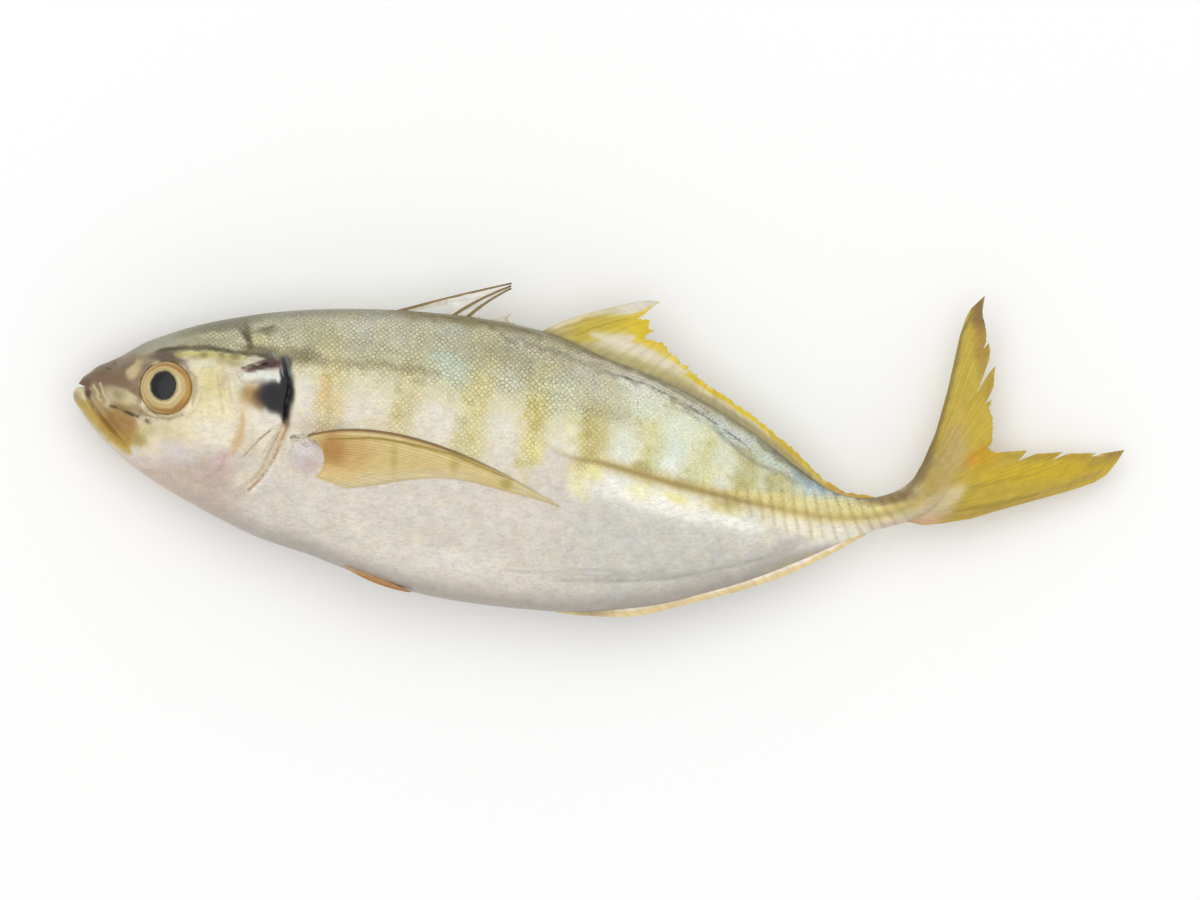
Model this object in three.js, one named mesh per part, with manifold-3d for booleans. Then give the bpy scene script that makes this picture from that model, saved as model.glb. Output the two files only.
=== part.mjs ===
// A whole raw yellowtail scad, 250 mm long, lying on its right side with its tail bent up towards its back.
// Millimetres. +X runs from the snout to the tail, +Y from the belly to the back, +Z up through the left flank.
// The origin is at the bottom centre of the bounding box, so the flank that the fish lies on is at Z = 0.
import * as THREE from "three";
import { mergeVertices } from "three/addons/utils/BufferGeometryUtils.js";
import Module from "manifold-3d";

const wasm = await Module();
wasm.setup();

// Driving dimensions
const MID_PLANE_HEIGHT = 16.6; // of the fish's plane of symmetry above the table, at the thickest part
const MID_PLANE_SAG = 10; // how far that plane has sunk at the tips of the tail
const SAG_START_X = -20;
const SAG_LENGTH = 145;
const EYE_RADIUS = 6.4;
const EYE_HALF_THICKNESS = 2.9;
const EYE_GAP = 0.35; // between the eyeball and the rim of its socket
const EYE_DEPTH = 1.2; // of the socket's centre under the skin
const EYE_SINK = 0.7; // how much deeper the ball sits, so that it grows out of the socket's floor
const EYE_CENTRE = [-102.8, 14.9];
const EYE_LEAN = [-0.2, 0.12]; // the sideways part of the direction that an eye looks in
const UPPER_EGG = 0.1; // how much wider the back's half of a cross-section is than the belly's half
const TAIL_SHARPNESS = 0.25; // how much more a cross-section narrows to a lens shape behind the belly
const SCUTE_PITCH = 2.8;
const SCUTE_RIDGE = 0.6; // how far the row of scutes stands out
const SCUTE_RIB = 0.45; // how much further each scute's middle does
const RIBBED_X = [20, 68]; // the part of the row whose scutes stand up as ribs
const HEAD_END_X = -72;
const HEAD_RING_STEP = 2.5; // between the body's rings of corners
const TRUNK_RING_STEP = 5.5;
const TAIL_RING_STEP = 2.2;
const PECTORAL_LIFT = 0.8; // of the folded fin's outer face above the flank
const FIN_RAY_RIDGE = 0.15;
const FIN_SINK = 2; // how deep the folded fin's inner face lies under the skin
const DORSAL_SKIN_THICKNESS = 0.5;
const DORSAL_SPINE_RADIUS = 0.45;

// Stations from the notch between the lips to the end of the tail's flesh: the back's point x, y, the belly's
// point x, y, and half the width there.
const BODY_STATIONS = [
  [-122.2, 14.8, -122.2, 14.8, 0],
  [-122.9, 15.9, -123.5, 14.6, 1.6],
  [-122.7, 17.1, -124.9, 13.8, 2.6],
  [-121.4, 18.1, -124.8, 11.7, 3.5],
  [-119.3, 19.7, -123.3, 9.3, 4.7],
  [-116.4, 20.9, -120.7, 5.6, 6],
  [-112.8, 22.6, -117.4, 1.8, 7.6],
  [-108.1, 25.3, -112.8, -2.4, 9.2],
  [-102.4, 27.4, -107.4, -6.5, 10.7],
  [-95.3, 29.5, -100.5, -10.8, 12.3],
  [-86.8, 31.2, -92, -15.5, 14],
  [-76.8, 32.6, -81.5, -20.7, 15.4],
  [-65.4, 33.3, -69.2, -24.9, 16.4],
  [-54, 33.3, -55.9, -30, 16.9],
  [-42.6, 32.7, -42.6, -34.2, 17],
  [-30.8, 31.5, -29.8, -36.5, 16.7],
  [-19.9, 29.6, -17.5, -37.9, 15.9],
  [-9.4, 26.8, -5.6, -38.6, 14.7],
  [1, 22, 5.3, -37.9, 13.3],
  [11.4, 17.9, 15.2, -36.6, 11.8],
  [21.4, 13.3, 24.3, -34.3, 10.2],
  [30.9, 7.8, 32.3, -32.1, 8.6],
  [39.4, 1.9, 39.7, -29.6, 7.1],
  [47, -4.2, 46.8, -26.8, 5.8],
  [54.1, -9.2, 53.2, -24, 4.9],
  [59.8, -11.2, 58.9, -21.5, 4.3],
  [64.6, -11.4, 63.6, -19.8, 4.1],
  [68.4, -10.6, 67.4, -18.7, 3.9],
  [71.2, -9.4, 71.2, -17.7, 3.6],
  [73.8, -7.5, 75, -16.6, 3.2],
  [76, -5, 78.6, -14.9, 2.4],
  [77.9, -2.6, 81.7, -12.5, 1.6],
  [79.8, -1.2, 83.6, -9.6, 0.9],
  [82.9, -4.6, 82.9, -4.6, 0],
];
const LIP_RINGS = [0.35, 0.75, 1.25, 1.8, 2.4, 3, 3.5]; // stations of the first rings
const AROUND = 26; // corners of a ring

// The lateral line in side view, from the gill opening to the tail. Its rear half is a row of keeled scutes.
const LATERAL_LINE = [
  [-76.3, 22.2],
  [-64, 21.9],
  [-47.4, 20.8],
  [-33.1, 16],
  [-21.3, 7.5],
  [-9.4, -0.9],
  [0.8, -3.3],
  [13.3, -6.9],
  [27.3, -10.6],
  [39.7, -13.4],
  [52, -15.8],
  [62, -16],
  [70, -14.6],
  [77, -11.4],
  [83, -6],
];

// Low swellings of each flank in side view: height, centre x, y, radius x, y. They are the pectoral fin's
// fleshy root, the gill cover, the cheek and the hollow behind the head.
const SWELLINGS = [
  [0.9, -69.2, -1.3, 3.6, 4.6],
  [0.6, -80, 8, 6, 14],
  [0.5, -93, 1, 9, 8],
  [-0.5, -64, 10, 9, 16],
];

// Grooves in the head and along the belly, in side view
const MOUTH_CLEFT = [
  [-122.6, 14.9],
  [-120.4, 10.8],
  [-118.5, 8.2],
  [-116.2, 5.3],
  [-112.6, 1.3],
];
const CHEEK_FOLD = [
  [-119, 13],
  [-117.3, 9.6],
  [-113.5, 6.9],
  [-108, 4.3],
];
const GILL_EDGE = [
  [-80.1, 23.1],
  [-75.8, 23.4],
  [-73.7, 20.8],
  [-72.6, 15.3],
  [-73.5, 10.6],
  [-73.9, 6],
  [-75.6, 2.7],
  [-77.7, -2],
  [-79.7, -5.8],
  [-82.5, -8.7],
  [-85.9, -10.5],
  [-90.2, -11.8],
];
const GILL_SLIT = [
  [-84.6, 19],
  [-80.6, 20],
  [-76.9, 20.6],
];
const PREOPERCLE = [
  [-87.2, 15.3],
  [-85.3, 11.7],
  [-85, 7],
  [-85.6, 2.3],
  [-87, -0.6],
  [-89.6, -4.9],
  [-93.6, -7.7],
  [-99.6, -8.9],
];
const SUBOPERCLE = [
  [-75.4, 6],
  [-79.2, 3.2],
  [-84.1, -1.3],
];
const ANAL_FOLD = [
  [-12.3, -30.4],
  [-2.9, -30.8],
  [11.1, -31],
  [21.1, -29.7],
  [31.1, -27.7],
  [43, -24.6],
];

// A lean of 1 sets a groove's deepest line under its right-hand edge, going along the line, so that the skin
// on that side stands proud as a flap.
const GROOVES = [
  { line: MOUTH_CLEFT, halfWidth: 0.7, depth: 1.5, lean: 0 },
  { line: CHEEK_FOLD, halfWidth: 0.7, depth: 0.5, lean: 0.3 },
  { line: GILL_EDGE, halfWidth: 1.3, depth: 1.1, lean: 0.75 },
  { line: GILL_SLIT, halfWidth: 0.6, depth: 1.2, lean: 0 },
  { line: PREOPERCLE, halfWidth: 0.9, depth: 0.45, lean: 0.7 },
  { line: SUBOPERCLE, halfWidth: 0.5, depth: 0.4, lean: 0 },
  { line: ANAL_FOLD, halfWidth: 0.7, depth: 0.5, lean: 0 },
];
const CUTTER_RISE = 1.2; // of a groove's cutter above the skin

// Fins that stand in the mid-plane. Their rays run from a place on the root, 0 to 1, to a corner of the worn
// edge, and bend like the leading edge next to them: [share of the length, offset to the left per length].
const CAUDAL = {
  root: [
    [74, -7.8],
    [76.8, -6],
    [79.3, -5],
    [80.9, -6.2],
    [81.4, -8.4],
    [80.6, -11.5],
    [77.5, -14.6],
    [73.2, -17.2],
  ],
  edge: [
    [0, 91.5, 36.6],
    [0.03, 90.9, 32.7],
    [0.09, 91.9, 27.8],
    [0.12, 91.9, 25.8],
    [0.14, 91.2, 24],
    [0.15, 92.5, 25.5],
    [0.18, 92.8, 23.7],
    [0.2, 92.7, 21.7],
    [0.235, 88.7, 11],
    [0.27, 94, 20],
    [0.31, 93.6, 14.8],
    [0.33, 91.6, 11],
    [0.35, 93.6, 12.5],
    [0.37, 92.5, 9.8],
    [0.4, 93.4, 7.9],
    [0.45, 93.4, 4.2],
    [0.48, 93.4, 2],
    [0.5, 92.3, 0.5],
    [0.53, 94.1, -0.7],
    [0.6, 101.9, -0.1],
    [0.615, 99.3, -2.8],
    [0.64, 103.7, -1],
    [0.69, 110.4, -0.5],
    [0.705, 107.6, -2.5],
    [0.73, 111.5, -0.9],
    [0.8, 118.2, -0.8],
    [0.81, 115.9, -2.1],
    [0.84, 119.6, -0.9],
    [1, 125.1, 0],
  ],
  lead: [
    [0, 0],
    [0.12, -0.017],
    [0.28, -0.021],
    [0.49, 0],
    [0.765, 0.043],
    [0.86, 0.048],
    [0.916, 0.04],
    [1, 0],
  ],
  lowLead: [
    [0, 0],
    [0.058, -0.034],
    [0.139, -0.053],
    [0.265, -0.073],
    [0.397, -0.077],
    [0.528, -0.084],
    [0.7, -0.093],
    [0.82, -0.093],
    [0.883, -0.08],
    [0.95, -0.04],
    [1, 0],
  ],
};
const SECOND_DORSAL = {
  root: [
    [-15.5, 27.2],
    [-6.8, 23.6],
    [-0.7, 21.2],
    [6.5, 18.2],
    [12.4, 15.8],
    [18.6, 13],
    [26.6, 8.6],
    [34.9, 3.6],
    [40.4, -0.2],
    [45.6, -4.8],
    [51.1, -9],
    [56.5, -11.6],
    [62.5, -13],
  ],
  edge: [
    [0, 14.6, 35.1],
    [0.03, 11.4, 32.4],
    [0.06, 9.2, 31.1],
    [0.1, 12.2, 30.8],
    [0.12, 11.6, 28.8],
    [0.14, 13.3, 28.3],
    [0.17, 11.7, 27.6],
    [0.19, 10.9, 26.2],
    [0.25, 15.2, 25.5],
    [0.28, 16.4, 23.4],
    [0.31, 17.8, 22.9],
    [0.34, 19.7, 20.5],
    [0.37, 21.9, 19.9],
    [0.39, 20.9, 19.3],
    [0.44, 23.8, 17.4],
    [0.49, 26.6, 14.8],
    [0.53, 29.2, 13.4],
    [0.58, 32.1, 11],
    [0.63, 35.2, 9.1],
    [0.7, 39.9, 5.4],
    [0.78, 45.6, 0.7],
    [0.86, 51.3, -5.3],
    [0.93, 57, -9.4],
    [0.97, 61.7, -10.5],
    [1, 66.5, -11.2],
  ],
  lead: [
    [0, 0],
    [0.11, 0.021],
    [0.245, 0.049],
    [0.436, 0.056],
    [0.624, 0.054],
    [0.81, 0.048],
    [0.92, 0.034],
    [1, 0],
  ],
};
const ANAL = {
  root: [
    [-13, -35.8],
    [0, -35.8],
    [10, -35.2],
    [22, -33.2],
    [36, -29.2],
    [48, -24.6],
    [60, -19.2],
  ],
  edge: [
    [0, -10, -38.8],
    [0.05, -6.9, -39.2],
    [0.1, -2.8, -39.5],
    [0.15, 0.1, -39.7],
    [0.22, 5.8, -39.8],
    [0.28, 11.4, -39.2],
    [0.35, 14.8, -38.3],
    [0.45, 22.4, -36.3],
    [0.6, 33.4, -33.6],
    [0.75, 43.8, -30.2],
    [0.87, 54.1, -25.4],
    [1, 63.4, -20.2],
  ],
  lead: [
    [0, 0],
    [1, 0],
  ],
};
// Fins that lie against the body: each key ray is root x, y, two control points x, y, and tip x, y
const PECTORAL_RAYS = [
  [-70, 3, -55, 7, -34, 2.8, -9.4, -13.6],
  [-68, 1.5, -55, 3.5, -36, -0.9, -13, -12.4],
  [-67, 0, -55, 1, -40, -2.5, -21, -10.2],
  [-66.5, -1.5, -56, -1, -44, -3.2, -29, -8],
  [-66.3, -3, -58, -3, -48, -4.2, -37, -6.8],
  [-66.5, -4.3, -60, -4.6, -53, -5.4, -45, -7.2],
  [-67, -5.3, -63, -6, -58, -6.8, -53, -7.9],
  [-67.8, -6, -65.5, -6.8, -63, -7.6, -61, -8.3],
];
const PELVIC_RAYS = [
  [-61, -26.4, -56, -28.8, -51, -30.8, -44.6, -33.7],
  [-61, -27.2, -56, -30.4, -50, -32.3, -45.6, -33.8],
  [-60.4, -27.9, -56.6, -30.6, -52, -32.3, -48.3, -33.2],
];
// The first dorsal fin: what stands above the back of its torn skin, and its three spines
const FIRST_DORSAL_SKIN = [
  [-49.5, 33],
  [-44.5, 34.3],
  [-40.2, 35.3],
  [-31.5, 37],
  [-23.7, 39],
  [-21.2, 39.2],
  [-20.6, 38.4],
  [-24.1, 36.2],
  [-26.5, 35],
  [-28.4, 33.4],
  [-28.4, 31.8],
  [-27.6, 28.8],
  [-46, 31],
];
const FIRST_DORSAL_TEAR = [
  [-43.8, 33],
  [-39.2, 32.2],
  [-36.4, 31.6],
  [-36.1, 32.9],
  [-36.4, 33.6],
  [-36.2, 34.2],
  [-37.5, 34.6],
  [-40.4, 33.9],
];
const FIRST_DORSAL_STUB = [
  [-27.5, 29],
  [-27.5, 30.4],
  [-22.6, 31.9],
  [-20.8, 32.3],
  [-22.1, 31],
  [-21.2, 30.1],
  [-20.2, 29.9],
  [-20.4, 28.4],
];
const FIRST_DORSAL_SPINES = [
  [[-50, 32.2], [-34, 36.6], [-20.9, 39.4]],
  [[-37, 30.2], [-30, 35.4], [-21, 38.8]],
  [[-33, 30], [-28.2, 34.6], [-21, 38.2]],
];

const SKIN = new THREE.MeshStandardMaterial({ color: "#cfc9b0", roughness: 0.42, metalness: 0.1 });

const smooth = THREE.MathUtils.smoothstep;

// Catmull-Rom spline through the rows of a table, where u counts rows.
function along(rows, u) {
  const last = rows.length - 1;
  const i = Math.min(Math.max(Math.floor(u), 0), last - 1);
  const f = u - i;
  const before = i > 0 ? rows[i - 1] : rows[0].map((a, k) => 2 * a - rows[1][k]);
  const after = i < last - 1 ? rows[i + 2] : rows[last].map((a, k) => 2 * a - rows[last - 1][k]);
  return rows[i].map((p1, k) => {
    const [p0, p2, p3] = [before[k], rows[i + 1][k], after[k]];
    return (
      p1 +
      0.5 * f * (p2 - p0 + f * (2 * p0 - 5 * p1 + 4 * p2 - p3 + f * (3 * (p1 - p2) + p3 - p0)))
    );
  });
}

// Straight interpolation in a list of [place, value].
function between(pairs, place) {
  const i = pairs.findIndex(([p]) => p >= place);
  if (i < 0) return pairs[pairs.length - 1][1];
  if (i === 0) return pairs[0][1];
  const [[p0, v0], [p1, v1]] = [pairs[i - 1], pairs[i]];
  return v0 + ((v1 - v0) * (place - p0)) / (p1 - p0);
}

// Height of the fish's own mid-plane above the table. It sinks towards the head and the tail.
function midPlane(x) {
  return MID_PLANE_HEIGHT - MID_PLANE_SAG * ((x - SAG_START_X) / SAG_LENGTH) ** 2;
}

// The body without its relief: a point at a station and an angle round it, 0 on the back and 180 degrees on
// the belly, with z counted from the mid-plane.
function bodyPoint(u, angle) {
  const [topX, topY, lowX, lowY, halfWidth] = along(BODY_STATIONS, u);
  const h = Math.cos(angle);
  const side = Math.sin(angle);
  const sharpness = 1 + TAIL_SHARPNESS * smooth((topX + lowX) / 2, -10, 45);
  const z = Math.max(halfWidth, 0) * Math.sign(side) * Math.abs(side) ** sharpness * (1 + UPPER_EGG * h);
  return [((1 + h) * topX + (1 - h) * lowX) / 2, ((1 + h) * topY + (1 - h) * lowY) / 2, z];
}

// Half the body's thickness at x, y in side view, found by halving the range of stations.
function halfThickness(x, y) {
  let low = 4;
  let high = BODY_STATIONS.length - 2;
  for (let step = 0; step < 30; step++) {
    const u = (low + high) / 2;
    const [topX, topY, lowX, lowY] = along(BODY_STATIONS, u);
    const ahead = (x - lowX) * (topY - lowY) - (y - lowY) * (topX - lowX) > 0;
    if (ahead) low = u;
    else high = u;
  }
  const [topX, topY, lowX, lowY] = along(BODY_STATIONS, low);
  const length2 = (topX - lowX) ** 2 + (topY - lowY) ** 2;
  const h = (2 * ((x - lowX) * (topX - lowX) + (y - lowY) * (topY - lowY))) / length2 - 1;
  return bodyPoint(low, Math.acos(THREE.MathUtils.clamp(h, -1, 1)))[2];
}

function lateralLineY(x) {
  const i = LATERAL_LINE.findIndex(([px]) => px >= x);
  if (i <= 0) return LATERAL_LINE[i < 0 ? LATERAL_LINE.length - 1 : 0][1];
  const [a, b] = [LATERAL_LINE[i - 1], LATERAL_LINE[i]];
  return along(LATERAL_LINE, i - 1 + (x - a[0]) / (b[0] - a[0]))[1];
}

// How far the flank stands out at x, y: the swellings, and the scutes' ridge with its ribs.
function relief(x, y, ribbed) {
  const swellings = SWELLINGS.reduce(
    (sum, [height, centreX, centreY, radiusX, radiusY]) =>
      sum + height * Math.exp(-(((x - centreX) / radiusX) ** 2) - ((y - centreY) / radiusY) ** 2),
    0,
  );
  const scuted = smooth(x, 5, 50) * (1 - smooth(x, 74, 80));
  const halfHeight = 1.3 + 3.2 * smooth(x, 0, 55);
  const ridge = Math.exp(-(((y - lateralLineY(x)) / halfHeight) ** 2));
  return swellings + scuted * ridge * (SCUTE_RIDGE + (ribbed ? SCUTE_RIB : 0));
}

// Merges a closed triangle mesh into a solid.
function solid(geometry) {
  const plain = new THREE.BufferGeometry().setAttribute("position", geometry.getAttribute("position"));
  if (geometry.index) plain.setIndex(geometry.index);
  const merged = mergeVertices(plain, 1e-4);
  return new wasm.Manifold(
    new wasm.Mesh({
      numProp: 3,
      vertProperties: new Float32Array(merged.attributes.position.array),
      triVerts: new Uint32Array(merged.index.array),
    }),
  );
}

function geometryOf(manifold) {
  const { numProp, vertProperties, triVerts } = manifold.getMesh();
  const positions = new Float32Array((vertProperties.length / numProp) * 3);
  for (let i = 0; i * numProp < vertProperties.length; i++) {
    positions.set(vertProperties.subarray(i * numProp, i * numProp + 3), 3 * i);
  }
  return new THREE.BufferGeometry()
    .setAttribute("position", new THREE.BufferAttribute(positions, 3))
    .setIndex(new THREE.BufferAttribute(new Uint32Array(triVerts), 1));
}

// A solid from the points and triangles of a closed mesh, which all turn the same way, in or out.
function closedSolid(points, faces) {
  const geometry = new THREE.BufferGeometry()
    .setAttribute("position", new THREE.Float32BufferAttribute(points.flat(), 3))
    .setIndex(faces.flat());
  const made = solid(geometry);
  if (made.volume() > 0) return made;
  return solid(geometry.setIndex(faces.map(([a, b, c]) => [a, c, b]).flat()));
}

// Stations of the body's rings: close together on the head, and two to each scute, on its rib and beside it.
function ringStations() {
  const middleX = (u) => {
    const [topX, , lowX] = along(BODY_STATIONS, u);
    return (topX + lowX) / 2;
  };
  const rings = LIP_RINGS.map((u) => ({ u, ribbed: false }));
  const end = BODY_STATIONS.length - 1.25;
  let u = 4;
  let ribbed = false;
  while (u < end) {
    rings.push({ u, ribbed });
    const x = middleX(u);
    const inRibs = x > RIBBED_X[0] && x < RIBBED_X[1];
    let step = x < HEAD_END_X ? HEAD_RING_STEP : TRUNK_RING_STEP;
    if (inRibs) step = SCUTE_PITCH / 2;
    else if (x >= RIBBED_X[1]) step = TAIL_RING_STEP;
    ribbed = inRibs && !ribbed;
    const stationLength = Math.max((middleX(u + 0.05) - x) / 0.05, 1.4);
    u += step / stationLength;
  }
  return rings;
}

// The body as rings of points, closed by a point at the lips and one at the tail.
function bodySolid() {
  const points = [];
  const place = ([x, y, z], ribbed, side) => {
    const out = Math.sign(z) * relief(x, y, ribbed) * Math.sqrt(Math.abs(side));
    points.push([x, y, midPlane(x) + z + out]);
  };
  place(bodyPoint(0, 0), false, 0);
  const rings = ringStations();
  for (const { u, ribbed } of rings) {
    for (let k = 0; k < AROUND; k++) {
      const angle = (2 * Math.PI * k) / AROUND;
      place(bodyPoint(u, angle), ribbed, Math.sin(angle));
    }
  }
  place(bodyPoint(BODY_STATIONS.length - 1, 0), false, 0);
  const end = points.length - 1;
  const faces = [];
  const at = (ring, k) => 1 + ring * AROUND + (k % AROUND);
  for (let k = 0; k < AROUND; k++) {
    faces.push([0, at(0, k + 1), at(0, k)]);
    faces.push([end, at(rings.length - 1, k), at(rings.length - 1, k + 1)]);
    for (let ring = 0; ring + 1 < rings.length; ring++) {
      faces.push([at(ring, k), at(ring, k + 1), at(ring + 1, k + 1)]);
      faces.push([at(ring, k), at(ring + 1, k + 1), at(ring + 1, k)]);
    }
  }
  return closedSolid(points, faces);
}

// A sheet between two surfaces given as point(column, row, face), face 1 on top and -1 below, with its four
// edges walled.
function sheetSolid(columns, rows, point) {
  const points = [];
  const faces = [];
  for (const face of [1, -1]) {
    for (let c = 0; c <= columns; c++) {
      for (let r = 0; r <= rows; r++) points.push(point(c, r, face));
    }
  }
  const at = (c, r, face) => (face > 0 ? 0 : (columns + 1) * (rows + 1)) + c * (rows + 1) + r;
  const quad = (a, b, c, d) => faces.push([a, b, c], [a, c, d]);
  for (let c = 0; c < columns; c++) {
    for (let r = 0; r < rows; r++) {
      quad(at(c, r, 1), at(c, r + 1, 1), at(c + 1, r + 1, 1), at(c + 1, r, 1));
      quad(at(c, r, -1), at(c + 1, r, -1), at(c + 1, r + 1, -1), at(c, r + 1, -1));
    }
    quad(at(c, 0, 1), at(c + 1, 0, 1), at(c + 1, 0, -1), at(c, 0, -1));
    quad(at(c + 1, rows, 1), at(c, rows, 1), at(c, rows, -1), at(c + 1, rows, -1));
  }
  for (let r = 0; r < rows; r++) {
    quad(at(0, r + 1, 1), at(0, r, 1), at(0, r, -1), at(0, r + 1, -1));
    quad(at(columns, r, 1), at(columns, r + 1, 1), at(columns, r + 1, -1), at(columns, r, -1));
  }
  return closedSolid(points, faces);
}

// A point along a key ray of four control points.
function rayPoint([x0, y0, x1, y1, x2, y2, x3, y3], t) {
  const s = 1 - t;
  const weights = [s * s * s, 3 * s * s * t, 3 * s * t * t, t * t * t];
  return [
    weights[0] * x0 + weights[1] * x1 + weights[2] * x2 + weights[3] * x3,
    weights[0] * y0 + weights[1] * y1 + weights[2] * y2 + weights[3] * y3,
  ];
}

// A point of a fin in the mid-plane, at a place on its root and a share of the way out along the ray.
function fanPoint(fin, place, share) {
  const [rootX, rootY] = along(fin.root, place * (fin.root.length - 1));
  const tipX = between(fin.edge.map(([p, x]) => [p, x]), place);
  const tipY = between(fin.edge.map(([p, , y]) => [p, y]), place);
  let left = between(fin.lead, share) * Math.max(1 - 2 * place, 0) ** 1.5;
  if (fin.lowLead) left += between(fin.lowLead, share) * Math.max(2 * place - 1, 0) ** 1.5;
  const [alongX, alongY] = [tipX - rootX, tipY - rootY];
  return [rootX + share * alongX - left * alongY, rootY + share * alongY + left * alongX];
}

// A fin in the mid-plane, thick at the root and thin at the edge. Each corner of its edge is a column.
function midFin(fin, extraPlaces, shares, rootThickness, edgeThickness) {
  const places = [...fin.edge.map(([place]) => place), ...extraPlaces].sort((a, b) => a - b);
  return sheetSolid(places.length - 1, shares.length - 1, (c, r, face) => {
    const [x, y] = fanPoint(fin, places[c], shares[r]);
    const half = (rootThickness + (edgeThickness - rootThickness) * Math.sqrt(shares[r])) / 2;
    return [x, y, midPlane(x) + face * half];
  });
}

// A pectoral fin folded back on the flank, with its inner face under the skin.
function pectoralFin(side) {
  const columns = (PECTORAL_RAYS.length - 1) * 2;
  return sheetSolid(columns, 8, (c, r, face) => {
    const [x, y] = rayPoint(along(PECTORAL_RAYS, c / 2), r / 8);
    const flank = halfThickness(x, y);
    const ridge = c % 2 === 0 ? FIN_RAY_RIDGE : 0;
    const lift = (side > 0) === (face > 0) ? PECTORAL_LIFT + ridge : -FIN_SINK;
    return [x, y, midPlane(x) + side * (flank + lift)];
  });
}

// A pelvic fin folded back along the belly, beside its fellow.
function pelvicFin(side) {
  return sheetSolid(4, 5, (c, r, face) => {
    const [x, y] = rayPoint(along(PELVIC_RAYS, c / 2), r / 5);
    const spread = 2.6 + (0.6 * c) / 4;
    return [x, y, midPlane(x) + side * spread + face * (0.75 - 0.06 * r)];
  });
}

// A flat piece of fin skin in the mid-plane, with an outline and any tears in it.
function finSkin(outline, tears) {
  const shape = new THREE.Shape(outline.map(([x, y]) => new THREE.Vector2(x, y)));
  for (const tear of tears) shape.holes.push(new THREE.Path(tear.map(([x, y]) => new THREE.Vector2(x, y))));
  const plate = new THREE.ExtrudeGeometry(shape, { depth: DORSAL_SKIN_THICKNESS, bevelEnabled: false });
  plate.translate(0, 0, midPlane(outline[0][0]) - DORSAL_SKIN_THICKNESS / 2);
  return solid(plate);
}

// A six-sided spine along the curve that three points steer.
function spine([root, middle, tip]) {
  const z = midPlane(root[0]);
  const curve = new THREE.QuadraticBezierCurve3(
    new THREE.Vector3(root[0], root[1], z),
    new THREE.Vector3(middle[0], middle[1], z),
    new THREE.Vector3(tip[0], tip[1], z),
  );
  const section = new THREE.Shape(
    Array.from({ length: 6 }, (_, k) => {
      const angle = (Math.PI * k) / 3;
      return new THREE.Vector2(Math.cos(angle), Math.sin(angle)).multiplyScalar(DORSAL_SPINE_RADIUS);
    }),
  );
  return solid(new THREE.ExtrudeGeometry(section, { steps: 6, extrudePath: curve, bevelEnabled: false }));
}

// A V-shaped cutter along a line in side view: its floor lies depth under the skin and leans to one side.
function grooveCutter({ line, halfWidth, depth, lean }, side) {
  const steps = line.length > 8 ? line.length - 1 : (line.length - 1) * 2;
  const sections = [];
  for (let i = 0; i <= steps; i++) {
    const u = (i / steps) * (line.length - 1);
    const [x, y] = along(line, u);
    const [aheadX, aheadY] = along(line, Math.min(u + 0.05, line.length - 1));
    const [behindX, behindY] = along(line, Math.max(u - 0.05, 0));
    const length = Math.hypot(aheadX - behindX, aheadY - behindY);
    const across = [-(aheadY - behindY) / length, (aheadX - behindX) / length];
    const fade = 0.25 + 0.75 * Math.sin((Math.PI * i) / steps) ** 0.6;
    const corner = (offset, rise) => {
      const [px, py] = [x + across[0] * offset, y + across[1] * offset];
      const surface = halfThickness(px, py) + relief(px, py, false);
      return [px, py, midPlane(px) + side * (surface + rise)];
    };
    sections.push([
      corner(halfWidth, CUTTER_RISE),
      corner(-halfWidth, CUTTER_RISE),
      corner(-lean * halfWidth, -depth * fade),
    ]);
  }
  const points = sections.flat();
  const faces = [];
  for (let i = 0; i < steps; i++) {
    for (let k = 0; k < 3; k++) {
      const [a, b] = [3 * i + k, 3 * i + ((k + 1) % 3)];
      faces.push([a, b, b + 3], [a, b + 3, a + 3]);
    }
  }
  faces.push([0, 2, 1], [3 * steps, 3 * steps + 1, 3 * steps + 2]);
  return closedSolid(points, faces);
}

// A flattened ball for an eye or its socket, turned so that it looks out of the head.
function eyeSolid(side, grow, sink) {
  const profile = [];
  const steps = 8;
  for (let i = 0; i <= steps; i++) {
    const angle = -Math.PI / 2 + (Math.PI * i) / steps;
    const radius = i === 0 || i === steps ? 0 : (EYE_RADIUS + grow) * Math.cos(angle);
    profile.push(new THREE.Vector2(radius, (EYE_HALF_THICKNESS + grow) * Math.sin(angle)));
  }
  const geometry = new THREE.LatheGeometry(profile, 22);
  const look = new THREE.Vector3(EYE_LEAN[0], EYE_LEAN[1], side).normalize();
  geometry.applyQuaternion(new THREE.Quaternion().setFromUnitVectors(new THREE.Vector3(0, 1, 0), look));
  const [x, y] = EYE_CENTRE;
  const height = halfThickness(x, y) - EYE_DEPTH - sink;
  geometry.translate(x, y, midPlane(x) + side * height);
  return solid(geometry);
}

// The open notch between the lips, which the mouth's clefts run into.
function lipNotch() {
  const shape = new THREE.Shape([
    new THREE.Vector2(-121.8, 14.8),
    new THREE.Vector2(-127, 17.2),
    new THREE.Vector2(-127, 14.6),
  ]);
  return solid(new THREE.ExtrudeGeometry(shape, { depth: MID_PLANE_HEIGHT * 2, bevelEnabled: false }));
}

// The table, which presses the lower flank flat.
function tableSolid() {
  const slab = new THREE.BoxGeometry(400, 200, 40);
  slab.translate(0, 0, -20);
  return solid(slab);
}

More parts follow.
